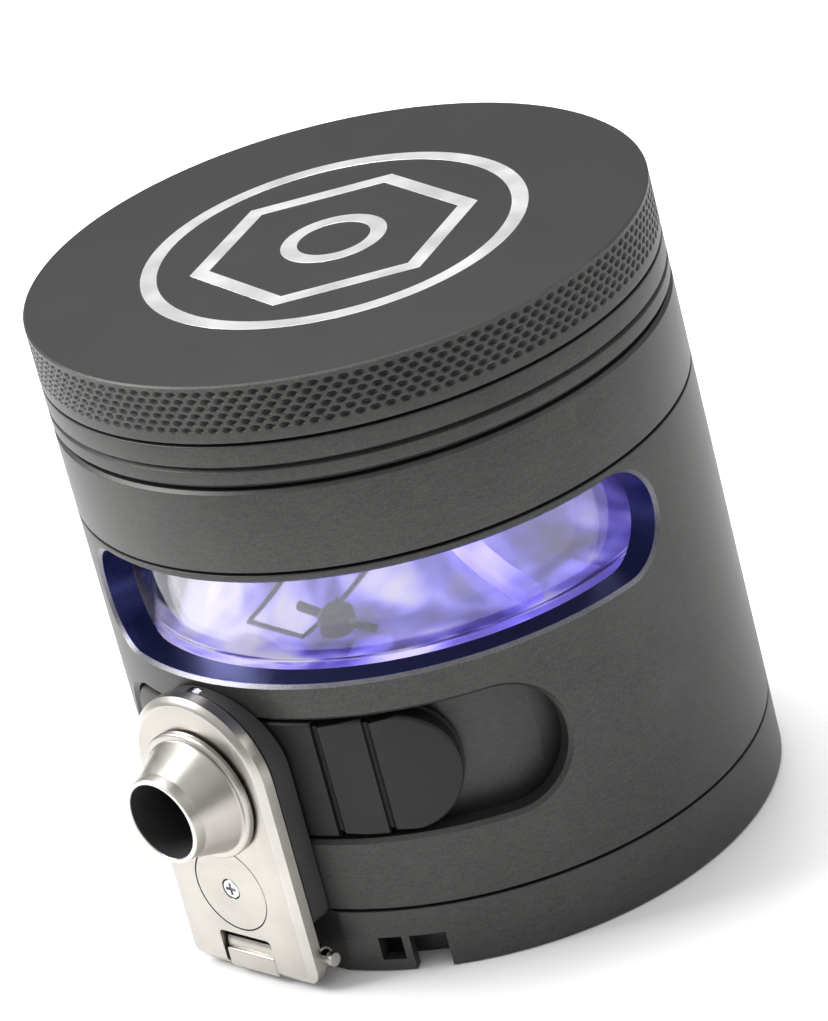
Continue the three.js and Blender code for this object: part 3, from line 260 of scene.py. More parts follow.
def front_loft(name, outline, rings, sharp_angle=32):
    """A plate facing the front: outline(inset) gives (x, z) points, and a ring is (distance out, inset)."""
    points, faces = [], []
    for out, inset in rings:
        ring = outline(inset)
        points.extend((x, -out, z) for x, z in ring)
    size = len(ring)
    for k in range(len(rings) - 1):
        for i in range(size):
            j = (i + 1) % size
            faces.append((k * size + i, k * size + j, (k + 1) * size + j, (k + 1) * size + i))
    faces.append(tuple(range(size)))
    faces.append(tuple(range((len(rings) - 1) * size, len(rings) * size)))
    return make_piece(name, points, faces, sharp_angle)


def block(name, xs, ys, zs, round_by=0.0, turn=0.0):
    """A box with rounded edges, turned about Z by an angle from the front."""
    points = [(x, y, z) for x in xs for y in ys for z in zs]
    faces = [(0, 1, 3, 2), (4, 6, 7, 5), (0, 4, 5, 1), (2, 3, 7, 6), (0, 2, 6, 4), (1, 5, 7, 3)]
    piece = make_piece(name, points, faces)
    if round_by:
        work = bmesh.new()
        work.from_mesh(piece.data)
        bmesh.ops.bevel(work, geom=work.edges[:], offset=round_by * MM, segments=3, profile=0.5,
                        affect="EDGES")
        work.to_mesh(piece.data)
        work.free()
    piece.data.transform(Matrix.Rotation(math.radians(turn), 4, "Z"))
    tidy_mesh(piece.data)
    return piece


def rod(name, radius, start, end, segments=48, round_by=0.0):
    """A round rod between two points in millimetres."""
    start, end = Vector(start), Vector(end)
    length = (end - start).length
    profile = [(0, 0, 0), (radius, 0, round_by), (radius, length, round_by), (0, length, 0)]
    piece = lathe(name, profile, segments)
    spin = (end - start).to_track_quat("Z", "Y").to_matrix().to_4x4()
    piece.data.transform(Matrix.Translation(start * MM) @ spin)
    tidy_mesh(piece.data)
    return piece


def merge(whole, *others, action="UNION"):
    """Joins or cuts pieces and deletes the tools."""
    for other in others:
        modifier = whole.modifiers.new("boolean", "BOOLEAN")
        modifier.operation = action
        modifier.solver = "EXACT"
        modifier.object = other
        applied = bpy.data.meshes.new_from_object(
            whole.evaluated_get(bpy.context.evaluated_depsgraph_get()))
        whole.modifiers.clear()
        old = whole.data
        whole.data = applied
        bpy.data.meshes.remove(old)
        bpy.data.objects.remove(other)
    tidy_mesh(whole.data)
    return whole


def cut(whole, *others):
    return merge(whole, *others, action="DIFFERENCE")


def absorb(whole, *others):
    """Puts other pieces into one mesh without joining their surfaces."""
    work = bmesh.new()
    for source in (whole, *others):
        work.from_mesh(source.data)
    work.to_mesh(whole.data)
    work.free()
    for other in others:
        bpy.data.objects.remove(other)
    tidy_mesh(whole.data)
    return whole


def place(piece, body, slot, looks, *nodes):
    """Hands a finished piece to its body, its looks and the CAD nodes it stands for; the material slot
    argument is not used.
    """
    piece.data.materials.clear()
    for look in looks if isinstance(looks, (list, tuple)) else [looks]:
        piece.data.materials.append(look)
    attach(piece, body)
    if nodes:
        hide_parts(*nodes)
    return piece


# ---------------------------------------------------------------- material helpers
class Look:
    """A material with a Principled shader and short calls for the nodes around it."""

    def __init__(self, name, color, roughness, metallic=0.0, **sockets):
        self.material = bpy.data.materials.new(name)
        self.material.use_nodes = True
        self.tree = self.material.node_tree
        self.shader = self.tree.nodes["Principled BSDF"]
        self.set("Base Color", (*color, 1))
        self.set("Roughness", roughness)
        self.set("Metallic", metallic)
        for key, value in sockets.items():
            self.set(key.replace("_", " "), value)
        self.coords = self.node("ShaderNodeTexCoord").outputs["Object"]
        self.bump_out = None

    def set(self, socket, value):
        self.shader.inputs[socket].default_value = value

    def node(self, kind, **inputs):
        made = self.tree.nodes.new(kind)
        for key, value in inputs.items():
            self.feed(made.inputs[key.replace("_", " ")], value)
        return made

    def feed(self, socket, value):
        if isinstance(value, bpy.types.NodeSocket):
            self.tree.links.new(value, socket)
        else:
            socket.default_value = value

    def math(self, operation, a, b=0.0):
        made = self.tree.nodes.new("ShaderNodeMath")
        made.operation = operation
        self.feed(made.inputs[0], a)
        self.feed(made.inputs[1], b)
        return made.outputs[0]

    def stretched(self, scale):
        return self.node("ShaderNodeMapping", Vector=self.coords, Scale=scale).outputs["Vector"]

    def round_coords(self, along, up):
        """Coordinates that run round the Z axis, so that streaks follow the turned surface."""
        parts = self.node("ShaderNodeSeparateXYZ", Vector=self.coords)
        angle = self.math("ARCTAN2", parts.outputs["X"], parts.outputs["Y"])
        flat = self.math("ADD", self.math("MULTIPLY", parts.outputs["X"], parts.outputs["X"]),
                         self.math("MULTIPLY", parts.outputs["Y"], parts.outputs["Y"]))
        radius = self.math("SQRT", flat)
        return self.node("ShaderNodeCombineXYZ", X=self.math("MULTIPLY", angle, along),
                         Y=self.math("MULTIPLY", radius, up),
                         Z=self.math("MULTIPLY", parts.outputs["Z"], up)).outputs["Vector"]

    def noise(self, scale, detail=3.0, vector=None, roughness=0.55):
        return self.node("ShaderNodeTexNoise", Vector=vector or self.coords, Scale=scale, Detail=detail,
                         Roughness=roughness).outputs["Fac"]

    def ramp(self, factor, *stops):
        made = self.tree.nodes.new("ShaderNodeValToRGB")
        self.feed(made.inputs["Fac"], factor)
        elements = made.color_ramp.elements
        while len(elements) < len(stops):
            elements.new(0.5)
        for element, (position, color) in zip(elements, stops):
            element.position = position
            element.color = (*color, 1)
        return made.outputs["Color"]

    def range(self, factor, low, high, from_low=0.3, from_high=0.7):
        made = self.node("ShaderNodeMapRange", Value=factor)
        made.inputs["From Min"].default_value = from_low
        made.inputs["From Max"].default_value = from_high
        made.inputs["To Min"].default_value = low
        made.inputs["To Max"].default_value = high
        return made.outputs["Result"]

    def color(self, value):
        self.feed(self.shader.inputs["Base Color"], value)
        return self

    def rough(self, value):
        self.feed(self.shader.inputs["Roughness"], value)
        return self

    def bump(self, height, strength, depth_mm):
        """Adds a relief; later calls stack on earlier ones."""
        made = self.node("ShaderNodeBump", Height=height, Strength=strength, Distance=depth_mm * MM)
        if self.bump_out:
            self.tree.links.new(self.bump_out, made.inputs["Normal"])
        self.bump_out = made.outputs["Normal"]
        self.feed(self.shader.inputs["Normal"], self.bump_out)
        return self


def tint(color, factor):
    return tuple(min(1.0, c * factor) for c in color)


def blasted_metal(name, color, roughness, metallic, grain=0.35, streaks=0.25):
    """Fine blasted and anodised aluminium: sandy grain with faint lathe streaks round the body."""
    look = Look(name, color, roughness, metallic)
    cloud = look.noise(90, 4)
    speckle = look.noise(5200, 2)
    streak = look.noise(1.0, 3, look.round_coords(30, 4200))
    mixed = look.math("ADD", look.math("MULTIPLY", cloud, 0.30), look.math("MULTIPLY", streak, 0.25))
    mixed = look.math("ADD", mixed, look.math("MULTIPLY", speckle, 0.45))
    look.color(look.ramp(mixed, (0.40, tint(color, 0.76)), (0.60, tint(color, 1.24))))
    look.rough(look.range(mixed, roughness - 0.05, roughness + 0.07))
    look.bump(speckle, grain, 0.02)
    return look.bump(streak, streaks, 0.006).material


def satin_nickel(name, color=(0.42, 0.40, 0.37)):
    """Plated and lightly tumbled metal with a fine orange-peel grain and faint handling marks."""
    look = Look(name, color, 0.24, 1.0)
    cloud = look.noise(160, 4)
    grain = look.noise(2600, 3)
    rub = look.noise(1.0, 4, look.stretched((300, 300, 2600)))
    look.color(look.ramp(cloud, (0.35, tint(color, 0.90)), (0.65, tint(color, 1.06))))
    wear = look.math("ADD", look.math("MULTIPLY", cloud, 0.5), look.math("MULTIPLY", rub, 0.5))
    look.rough(look.range(wear, 0.26, 0.38))
    look.bump(grain, 0.22, 0.012)
    return look.bump(rub, 0.05, 0.004).material


def moulded_plastic(name, color, roughness=0.5):
    look = Look(name, color, roughness)
    grain = look.noise(3000, 3)
    cloud = look.noise(120, 3)
    look.color(look.ramp(cloud, (0.35, tint(color, 0.8)), (0.65, tint(color, 1.25))))
    look.rough(look.range(grain, roughness - 0.08, roughness + 0.1))
    return look.bump(grain, 0.3, 0.02).material


def turned_steel(name, color, roughness=0.28):
    look = Look(name, color, roughness, 1.0)
    streak = look.noise(1.0, 3, look.stretched((1500, 1500, 9000)))
    look.color(look.ramp(look.noise(300, 3), (0.35, tint(color, 0.85)), (0.65, tint(color, 1.1))))
    look.rough(look.range(streak, roughness - 0.08, roughness + 0.12))
    return look.bump(streak, 0.2, 0.008).material


def clear_plastic(name):
    look = Look(name, (0.93, 0.93, 1.0), 0.03, 0.0, Transmission_Weight=1.0, IOR=1.46)
    waves = look.noise(110, 2)
    look.rough(look.range(waves, 0.015, 0.06))
    return look.bump(waves, 0.06, 0.15).material


def glow(name, color, strength, base=(0.9, 0.9, 1.0)):
    """A lit face that is brightest at its middle grain and a little dimmer in between."""
    look = Look(name, base, 0.35)
    grain = look.noise(900, 2)
    look.feed(look.shader.inputs["Emission Color"], look.ramp(grain, (0.3, tint(color, 0.8)), (0.7, color)))
    look.set("Emission Strength", strength)
    return look.bump(grain, 0.2, 0.01).material


LIGHT_FADE = (2.6, 2.9)     # the glow falls off towards +X and +Y, per metre
# Stops of the painted glow, from painted shade through violet to painted highlight white.
LIGHT_STOPS = ((0.36, (0.050, 0.030, 0.080)), (0.45, (0.14, 0.11, 0.50)), (0.51, (0.34, 0.28, 0.95)),
               (0.57, (0.66, 0.60, 1.0)), (0.64, (1.0, 0.95, 0.92)))


def frosted(name, color, strength, roughness=0.35, patches=95):
    """Milky clear plastic with a painted glow, and painted highlights in its lightest stops, standing in for
    the light of the lamps below it.
    """
    look = Look(name, color, roughness, 0.0, Transmission_Weight=0.35, IOR=1.46)
    cloud = look.noise(75, 3)
    grain = look.noise(2400, 2)
    look.color(look.ramp(cloud, (0.35, tint(color, 0.82)), (0.65, tint(color, 1.1))))
    parts = look.node("ShaderNodeSeparateXYZ", Vector=look.coords)
    slope = look.math("ADD", look.math("MULTIPLY", parts.outputs["X"], LIGHT_FADE[0]),
                      look.math("MULTIPLY", parts.outputs["Y"], LIGHT_FADE[1]))
    lit = look.math("SUBTRACT", look.noise(patches, 2), slope)
    look.feed(look.shader.inputs["Emission Color"], look.ramp(lit, *LIGHT_STOPS))
    look.set("Emission Strength", strength)
    return look.bump(grain, 0.15, 0.015).material


# ---------------------------------------------------------------- materials
GUNMETAL = blasted_metal("gunmetal", (0.054, 0.053, 0.051), 0.44, 0.66, grain=0.5)
# The lid's top face gets a darker, less metallic copy of the gunmetal: painted shade on the top.
GUNMETAL_TOP_SHADE = blasted_metal("gunmetal_top_painted_shade", (0.013, 0.0125, 0.012), 0.52, 0.40, streaks=0.12)
# A bright steel ring round the lid's top edge, a painted highlight.
LID_EDGE_HIGHLIGHT = turned_steel("lid_edge_painted_highlight", (0.46, 0.46, 0.47), 0.26)
# The window's chamfer takes a lighter grey, a painted highlight.
WINDOW_EDGE_HIGHLIGHT = blasted_metal("window_edge_painted_highlight", (0.13, 0.13, 0.145), 0.36, 0.7)
# The window's reveal takes a navy blue, painted glow from the lit bowl.
REVEAL_PAINTED_GLOW = blasted_metal("window_reveal_painted_glow", (0.030, 0.034, 0.14), 0.30, 0.8, grain=0.15)
SLIDE_METAL = blasted_metal("slide_metal", (0.013, 0.013, 0.0135), 0.5, 0.4, grain=0.45, streaks=0.1)
# A lighter grey for the rising face of each grip groove: a painted highlight.
SLIDE_RIDGE_HIGHLIGHT = blasted_metal("slide_ridge_painted_highlight", (0.045, 0.045, 0.047), 0.42, 0.6)
POCKET_FLOOR = blasted_metal("pocket_floor", (0.052, 0.052, 0.054), 0.46, 0.55, streaks=0.15)
NICKEL = satin_nickel("nickel")
# A lighter nickel for the door's bevel and the nozzle's lip: a painted highlight.
NICKEL_EDGE_HIGHLIGHT = satin_nickel("nickel_edge_painted_highlight", (0.50, 0.48, 0.45))
INLAY = satin_nickel("inlay", (0.90, 0.90, 0.90))
BACKING = moulded_plastic("door_backing", (0.020, 0.020, 0.021), 0.62)
BLACK = moulded_plastic("black_plastic", (0.016, 0.016, 0.017), 0.5)
RUBBER = moulded_plastic("rubber", (0.022, 0.022, 0.023), 0.8)
NYLON = moulded_plastic("nylon", (0.62, 0.62, 0.60), 0.42)
STEEL = turned_steel("steel", (0.52, 0.52, 0.54))
DARK_STEEL = moulded_plastic("dark_steel", (0.030, 0.026, 0.042), 0.4)
BRASS = turned_steel("brass", (0.62, 0.46, 0.20))
MAGNET = turned_steel("magnet", (0.60, 0.60, 0.62), 0.2)
BOARD = moulded_plastic("circuit_board", (0.012, 0.085, 0.035), 0.35)
FOIL = moulded_plastic("battery_foil", (0.34, 0.36, 0.40), 0.38)
CLEAR = clear_plastic("clear_plastic")
LED = glow("led", (0.66, 0.60, 1.0), 6.0)
BOWL = frosted("lit_bowl", (0.30, 0.27, 0.52), 0.50, 0.2, 150)
BOWL_FLOOR_LOOK = frosted("lit_floor", (0.36, 0.32, 0.66), 0.55, 0.16, 110)
RIB_LOOK = frosted("lit_rib", (0.6, 0.56, 0.90), 1.1, 0.3, 60)
OUTLINE = moulded_plastic("chute_outline", (0.075, 0.060, 0.12), 0.4)

NODE_LOOKS = {
    "black_plastic": BLACK, "clear_plastic": CLEAR, "magnet": MAGNET, "rubber": RUBBER, "steel": STEEL,
    "brass": BRASS, "circuit_board": BOARD, "led": LED, "battery_foil": FOIL, "nylon": NYLON,
    "gunmetal": GUNMETAL, "slide_metal": SLIDE_METAL, "nickel": NICKEL,
}
for subpart in frame["record"]["subparts"]:
    node = frame["nodes"].get(subpart["node"])
    if node is not None and node.type == "MESH":
        look = NODE_LOOKS[subpart["material_slot"]]
        for material_slot in node.material_slots:
            material_slot.material = look

# ---------------------------------------------------------------- lid with its knurled band
KNURL_COUNT = 136
KNURL_ROWS = 6
KNURL_TOP = TOP - 0.84
KNURL_BAND = 3.76           # from the middle of the top row to the middle of the bottom row
KNURL_PITCH = KNURL_BAND / (KNURL_ROWS - 1)
KNURL_DEPTH = 0.42


def knurl(turn, radius, height):
    """Depth of the knurl: staggered rows of round dimples between raised points."""
    drop = KNURL_TOP - height
    if radius < OUTER_R - 0.01 or drop < -0.5 or drop > KNURL_ROWS * KNURL_PITCH - 0.2:
        return 0.0
    row = round(drop / KNURL_PITCH)
    if row < 0 or row >= KNURL_ROWS:
        return 0.0
    across = (turn / TURN * KNURL_COUNT + 0.5 * (row % 2)) % 1 - 0.5
    up = (drop - row * KNURL_PITCH) / KNURL_PITCH
    reach = 1 - (across / 0.33) ** 2 - (up / 0.40) ** 2
    return -KNURL_DEPTH * max(0.0, reach) ** 0.8


def lid_shell():
    boss_z = MAGNET_LOW.z
    band_low = KNURL_TOP - (KNURL_ROWS - 0.5) * KNURL_PITCH
    band_high = KNURL_TOP + 0.5 * KNURL_PITCH
    rows = KNURL_ROWS * 8
    band = [(OUTER_R, band_low + (band_high - band_low) * k / rows, 0) for k in range(rows + 1)]
    ring_r = RING_HIGH.x + GAP
    profile = [
        (0, boss_z, 0), (POST_R, boss_z, 0.3), (POST_R, CHAMBER_ROOF, 0),
        (CHAMBER_R + GAP, CHAMBER_ROOF, 0.4),
        (CHAMBER_R + GAP, RING_HIGH.z + GAP, 0.2), (ring_r - GAP, RING_HIGH.z + GAP, 0.2),
        (ring_r - GAP, RIM_TOP + HALF_GAP, 0.2), (OUTER_R, RIM_TOP + HALF_GAP, 0.16),
        (OUTER_R, band_low - 0.5, 0), (OUTER_R, band_low - 0.12, 0), *band,
        (OUTER_R, TOP - 0.18, 0), (OUTER_R - 0.20, TOP, 0.12), (0, TOP - 0.03, 0),
    ]
    return lathe("lid_shell", profile, KNURL_COUNT * 8, shift=knurl, steps=3, sharp_angle=40)


def teeth_ring(name, parity, low, high):
    """Diamond teeth with softened tips, on the same circles as the CAD rows."""
    pieces, radius, row = [], CHAMBER_R - TOOTH_RADIAL - TOOTH_ROW_PITCH / 2, 0
    while radius - TOOTH_RADIAL > POST_R + GAP:
        count = max(4, round(radius / TOOTH_SPACING))
        for i in range(count if row % 2 == parity else 0):
            turn = TURN * (i + row / 4) / count
            rings = [(low, 1.0), (high - 0.4, 1.0), (high, 0.78)] if parity == 0 else \
                [(low, 0.78), (low + 0.4, 1.0), (high, 1.0)]
            points = []
            for z, size in rings:
                for u, v in ((TOOTH_RADIAL, 0), (0, TOOTH_ALONG), (-TOOTH_RADIAL, 0), (0, -TOOTH_ALONG)):
                    x, y = radius + u * size, v * size
                    points.append((x * math.cos(turn) - y * math.sin(turn),
                                   x * math.sin(turn) + y * math.cos(turn), z))
            faces = [(0, 1, 2, 3), (8, 9, 10, 11)]
            faces += [(4 * k + a, 4 * k + (a + 1) % 4, 4 * k + 4 + (a + 1) % 4, 4 * k + 4 + a)
                      for k in range(2) for a in range(4)]
            pieces.append(make_piece(f"{name}_{row}_{i}", points, faces))
        radius -= TOOTH_ROW_PITCH
        row += 1
    return pieces


lid = lid_shell()
magnet_seat = lathe("seat", [
    (0, MAGNET_LOW.z - 1, 0), (MAGNET_SEAT_R, MAGNET_LOW.z - 1, 0),
    (MAGNET_SEAT_R, MAGNET_HIGH.z + GAP, 0), (0, MAGNET_HIGH.z + GAP, 0),
], 64)


def flat_ring(name, sides, outer, inner, low, high, turn=0.0):
    """A flat closed band with a round or many-sided outline and softened top edges."""
    points, faces = [], []
    count = max(sides, 96) if sides > 12 else sides * 16
    for i in range(count):
        angle = TURN * i / count
        scale = 1.0
        if sides <= 12:
            part = (angle % (TURN / sides)) - TURN / sides / 2
            scale = math.cos(TURN / sides / 2) / math.cos(part)
        for radius, z in ((outer, low), (outer, high - 0.015), (outer - 0.02, high), (inner + 0.02, high),
                          (inner, high - 0.015), (inner, low)):
            r = radius * scale
            points.append((r * math.sin(angle + turn), -r * math.cos(angle + turn), z))
    for i in range(count):
        j = (i + 1) % count
        faces += [(6 * i + k, 6 * i + (k + 1) % 6, 6 * j + (k + 1) % 6, 6 * j + k) for k in range(6)]
    return make_piece(name, points, faces)


INLAY_LOW = TOP - 0.5
ornament = [
    flat_ring("ornament_ring", 96, 19.6, 17.9, INLAY_LOW, TOP),
    flat_ring("ornament_hexagon", 6, 14.6, 12.6, INLAY_LOW, TOP, math.radians(18)),
    flat_ring("ornament_centre", 96, 5.4, 3.7, INLAY_LOW, TOP),
]
lid = cut(lid, magnet_seat)
hanging = teeth_ring("lid_tooth", 1, CHAMBER_FLOOR + TOOTH_END_GAP, CHAMBER_ROOF + 0.3)
lid = absorb(lid, *hanging)
lid.name = "lid_shell"
place(lid, "lid", "gunmetal", [GUNMETAL, GUNMETAL_TOP_SHADE], "lid")
# Top faces of the lid take the darker copy, painted shade.
for polygon in lid.data.polygons:
    if polygon.center.z > (TOP - 0.06) * MM and polygon.normal.z > 0.9:
        polygon.material_index = 1
# A thin bright ring on the lid's top edge: painted highlight.
line_in, line_out = OUTER_R - 0.42, OUTER_R - 0.22
edge_line = lathe("lid_edge_line", [
    (line_in, TOP - 0.2, 0), (line_out, TOP - 0.2, 0), (line_out, TOP - 0.004, 0.01),
    (line_in, TOP - 0.004, 0.01),
], 256)
place(edge_line, "lid", "gunmetal", LID_EDGE_HIGHLIGHT)
for mark in ornament:
    place(mark, "lid", "nickel", INLAY)

# ---------------------------------------------------------------- tooth plate and collar
GROOVE_Z = COLLAR_TOP + 2.23
plate_low = COLLAR_TOP + HALF_GAP
seat_z = RIM_TOP - RING_STEP
post_top = (CHAMBER_FLOOR + CHAMBER_ROOF) / 2
ring_r = RING_HIGH.x + GAP
plate = lathe("tooth_plate_shell", [
    (0, PLATE_LOW.z, 0), (SPIGOT_R, PLATE_LOW.z, 0.3), (SPIGOT_R, plate_low, 0),
    (OUTER_R - 0.5, plate_low, 0),
    (OUTER_R, plate_low + 0.5, 0.15), (OUTER_R, GROOVE_Z - 0.3, 0.08), (OUTER_R - 0.55, GROOVE_Z, 0.08),
    (OUTER_R, GROOVE_Z + 0.3, 0.08), (OUTER_R, RIM_TOP - HALF_GAP, 0.16), (ring_r, RIM_TOP - HALF_GAP, 0.2),
    (ring_r, seat_z, 0.1), (CHAMBER_R, seat_z, 0.2), (CHAMBER_R, CHAMBER_FLOOR, 0.8),
    (POST_R, CHAMBER_FLOOR, 0.6), (POST_R, post_top, 0.3), (MAGNET_SEAT_R, post_top, 0.1),
    (MAGNET_SEAT_R, post_top - MAGNET_SEAT_H, 0), (0, post_top - MAGNET_SEAT_H, 0),
], 256, steps=4)


def sieve_holes():
    rods, radius, row = [], CHAMBER_R - TOOTH_RADIAL - TOOTH_ROW_PITCH / 2, 0
    while radius - TOOTH_RADIAL > POST_R + GAP:
        count = round(radius / SIEVE_SPACING)
        for i in range(count if row % 2 else 0):
            turn = TURN * i / count
            x, y = radius * math.cos(turn), radius * math.sin(turn)
            ends = (x, y, PLATE_LOW.z - 1), (x, y, CHAMBER_FLOOR + 0.5)
            rods.append(rod(f"sieve_{row}_{i}", SIEVE_R, *ends, 16))
        radius -= TOOTH_ROW_PITCH
        row += 1
    return absorb(*rods)


plate = cut(plate, sieve_holes())
plate = absorb(plate, *teeth_ring("plate_tooth", 0, CHAMBER_FLOOR - 0.3, CHAMBER_ROOF - TOOTH_END_GAP))
place(plate, "grinder", "gunmetal", GUNMETAL, "tooth_plate")

collar_low = BODY_TOP + HALF_GAP
collar_high = COLLAR_TOP - HALF_GAP
shelf_r = BOWL_HIGH.x - BOWL_WALL
collar = lathe("collar_shell", [
    (shelf_r, COLLAR_LOW.z, 0.2), (SPIGOT_R, COLLAR_LOW.z, 0.2), (SPIGOT_R, collar_low, 0),
    (OUTER_R, collar_low, 0.14), (OUTER_R, collar_high - 0.34, 0.12), (OUTER_R - 0.34, collar_high, 0.06),
    (BODY_INNER_R, collar_high, 0.2), (BODY_INNER_R, PLATE_LOW.z - GAP, 0.3),
    (shelf_r, PLATE_LOW.z - GAP, 0.2),
], 256, steps=4)
place(collar, "body", "gunmetal", GUNMETAL, "collar")

# ---------------------------------------------------------------- body shell with window and slide pocket
body = lathe("body_shell_fine", [
    (BODY_INNER_R, BODY_LOW.z, 0.2), (OUTER_R, BODY_LOW.z, 0.14), (OUTER_R, BODY_HIGH.z, 0.14),
    (BODY_INNER_R, BODY_HIGH.z, 0.2),
], 384, steps=4)


def flare(inner_r, edge, out):
    """Rings of a cutter whose mouth opens in a small chamfer of the given size."""
    rings = [(inner_r, 0.0)]
    for k in range(5):
        t = math.pi / 2 * k / 4
        rings.append((OUTER_R - edge * math.cos(t), edge * (1 - math.cos(t))))
    rings.append((OUTER_R + out, edge + out))
    return rings


body = cut(
    body,
    bent_loft("cut_window", WINDOW, flare(BODY_INNER_R - 1, 0.38, 0.4)),
    bent_loft("cut_pocket", POCKET, flare(BODY_INNER_R - 1, 0.42, 0.4)),
    bent_loft("cut_recess", dict(start=POCKET["start"] - 1.5, end=POCKET["end"] + 1.5,
                                 low=POCKET["low"] - SLIDE_FLANGE, high=POCKET["high"] + SLIDE_FLANGE),
              [(BODY_INNER_R - 1, 0), (BODY_INNER_R + 1.1, 0)]),
)
latch_low, latch_high = box_mm("latch_magnet")
latch_z = (latch_low.z + latch_high.z) / 2
latch_ends = (0, -OUTER_R + 1.2, latch_z), (0, -BODY_INNER_R + 1, latch_z)
body = cut(body, rod("cut_latch", LATCH_HOLE_R, *latch_ends, 32))
place(body, "body", "gunmetal", [GUNMETAL, WINDOW_EDGE_HIGHLIGHT, REVEAL_PAINTED_GLOW], "body_shell")


def in_hole(x, y, z, hole, margin):
    """True where a point lies within a long hole grown by a margin."""
    angle = math.degrees(math.atan2(x, -y))
    half = (hole["high"] - hole["low"]) / 2
    middle = (hole["high"] + hole["low"]) / 2
    reach = half * 180 / (math.pi * OUTER_R)
    nearest = min(max(angle, hole["start"] + reach), hole["end"] - reach)
    across = (angle - nearest) * math.pi * OUTER_R / 180
    return math.hypot(across, z - middle) < half + margin


# Chamfer faces round the window take the lighter grey, a painted highlight; the reveal faces take the navy
# blue, painted glow from the lit bowl.
for polygon in body.data.polygons:
    x, y, z = polygon.center / MM
    radius = math.hypot(x, y)
    facing = polygon.normal.x * x / radius + polygon.normal.y * y / radius
    if in_hole(x, y, z, WINDOW, 0.62) and abs(facing) < 0.985:
        polygon.material_index = 1 if radius > OUTER_R - 0.36 else 2

# ---------------------------------------------------------------- slide with its grips
GRIPS = (20.9, 30.6)        # degrees from the front
SLIDE = dict(start=POCKET["start"] + 0.6, end=46.5, low=POCKET["low"] + GAP, high=POCKET["high"] - GAP)
FACE_R = OUTER_R - 0.2
slide_rings = [(BODY_INNER_R, 0.0), (FACE_R - SLIDE_ROUND, 0.0)]
slide_rings += [(FACE_R - SLIDE_ROUND + SLIDE_ROUND * math.sin(math.pi / 2 * k / 4),
                 -SLIDE_ROUND * (1 - math.cos(math.pi / 2 * k / 4))) for k in range(1, 5)]
slide = bent_loft("slide_shell", SLIDE, slide_rings)
flange = bent_loft("slide_flange", dict(start=SLIDE["start"] - 0.6, end=SLIDE["end"] + 0.6,
                                        low=SLIDE["low"] - SLIDE_FLANGE, high=SLIDE["high"] + SLIDE_FLANGE),
                   [(BODY_INNER_R, 0), (BODY_INNER_R + 0.8, 0)])
slide = merge(slide, flange)


def groove(start, width, depth, low, high, name):
    """A V-shaped cut across the slide, open at its top and bottom edges."""
    points = []
    for angle, radius in ((start, FACE_R + 0.6), (start, FACE_R - depth),
                          (start + width * 0.45, FACE_R - depth), (start + width, FACE_R + 0.02),
                          (start + width, FACE_R + 0.6)):
        turn = math.radians(angle)
        for z in (low, high):
            points.append((radius * math.sin(turn), -radius * math.cos(turn), z))
    faces = [(0, 2, 4, 6, 8), (1, 3, 5, 7, 9)]
    faces += [(2 * k, 2 * ((k + 1) % 5), 2 * ((k + 1) % 5) + 1, 2 * k + 1) for k in range(5)]
    return make_piece(name, points, faces)


def step_cut(angle, rise, top):
    """A saw-tooth bite out of the slide's upper or lower edge where a grip ends."""
    edge = SLIDE["high"] if top else SLIDE["low"]
    sign = 1 if top else -1
    points = []
    for a, z in ((angle, edge - sign * rise), (angle + 8.6, edge - sign * 0.05), (angle + 8.6, edge + sign),
                 (angle, edge + sign)):
        turn = math.radians(a)
        for radius in (FACE_R - 1.3, FACE_R + 0.6):
            points.append((radius * math.sin(turn), -radius * math.cos(turn), z))
    faces = [(0, 2, 4, 6), (1, 3, 5, 7)]
    faces += [(2 * k, 2 * ((k + 1) % 4), 2 * ((k + 1) % 4) + 1, 2 * k + 1) for k in range(4)]
    return make_piece(f"step_{angle}_{top}", points, faces)


cuts = [groove(angle, GRIP_W, GRIP_DEPTH, SLIDE["low"] - 1, SLIDE["high"] + 1, f"groove_{angle}")
        for angle in GRIPS]
cuts += [step_cut(angle, 0.62, top) for angle in GRIPS for top in (True, False)]
port_turn = math.radians(-SLIDE_TRAVEL)
port_ends = [(reach * math.sin(port_turn), -reach * math.cos(port_turn), FEED_Z)
             for reach in (OUTER_R * 1.2, 20)]
cuts.append(rod("port", BORE_R, *port_ends, 48))
for cutter in cuts:
    slide = cut(slide, cutter)
tongue = block("slide_tongue", (-1, 1), (-BODY_INNER_R - 0.5, -BODY_INNER_R + 4.1),
               (POCKET["low"] + 1.6, POCKET["low"] + 3.6), 0.2, 14)
slide = absorb(slide, tongue)
place(slide, "slide", "slide_metal", [SLIDE_METAL, SLIDE_RIDGE_HIGHLIGHT], "slide_button")
# The rising faces of the grip grooves take the lighter grey, a painted highlight.
for polygon in slide.data.polygons:
    x, y, z = polygon.center / MM
    angle = math.degrees(math.atan2(x, -y))
    radius = math.hypot(x, y)
    on_grip = any(grip + 0.6 < angle < grip + GRIP_W + 0.02 for grip in GRIPS)
    if on_grip and FACE_R - GRIP_DEPTH - 0.02 < radius < FACE_R - 0.01:
        polygon.material_index = 1
frame["nodes"]["slide_track"].material_slots[0].material = POCKET_FLOOR

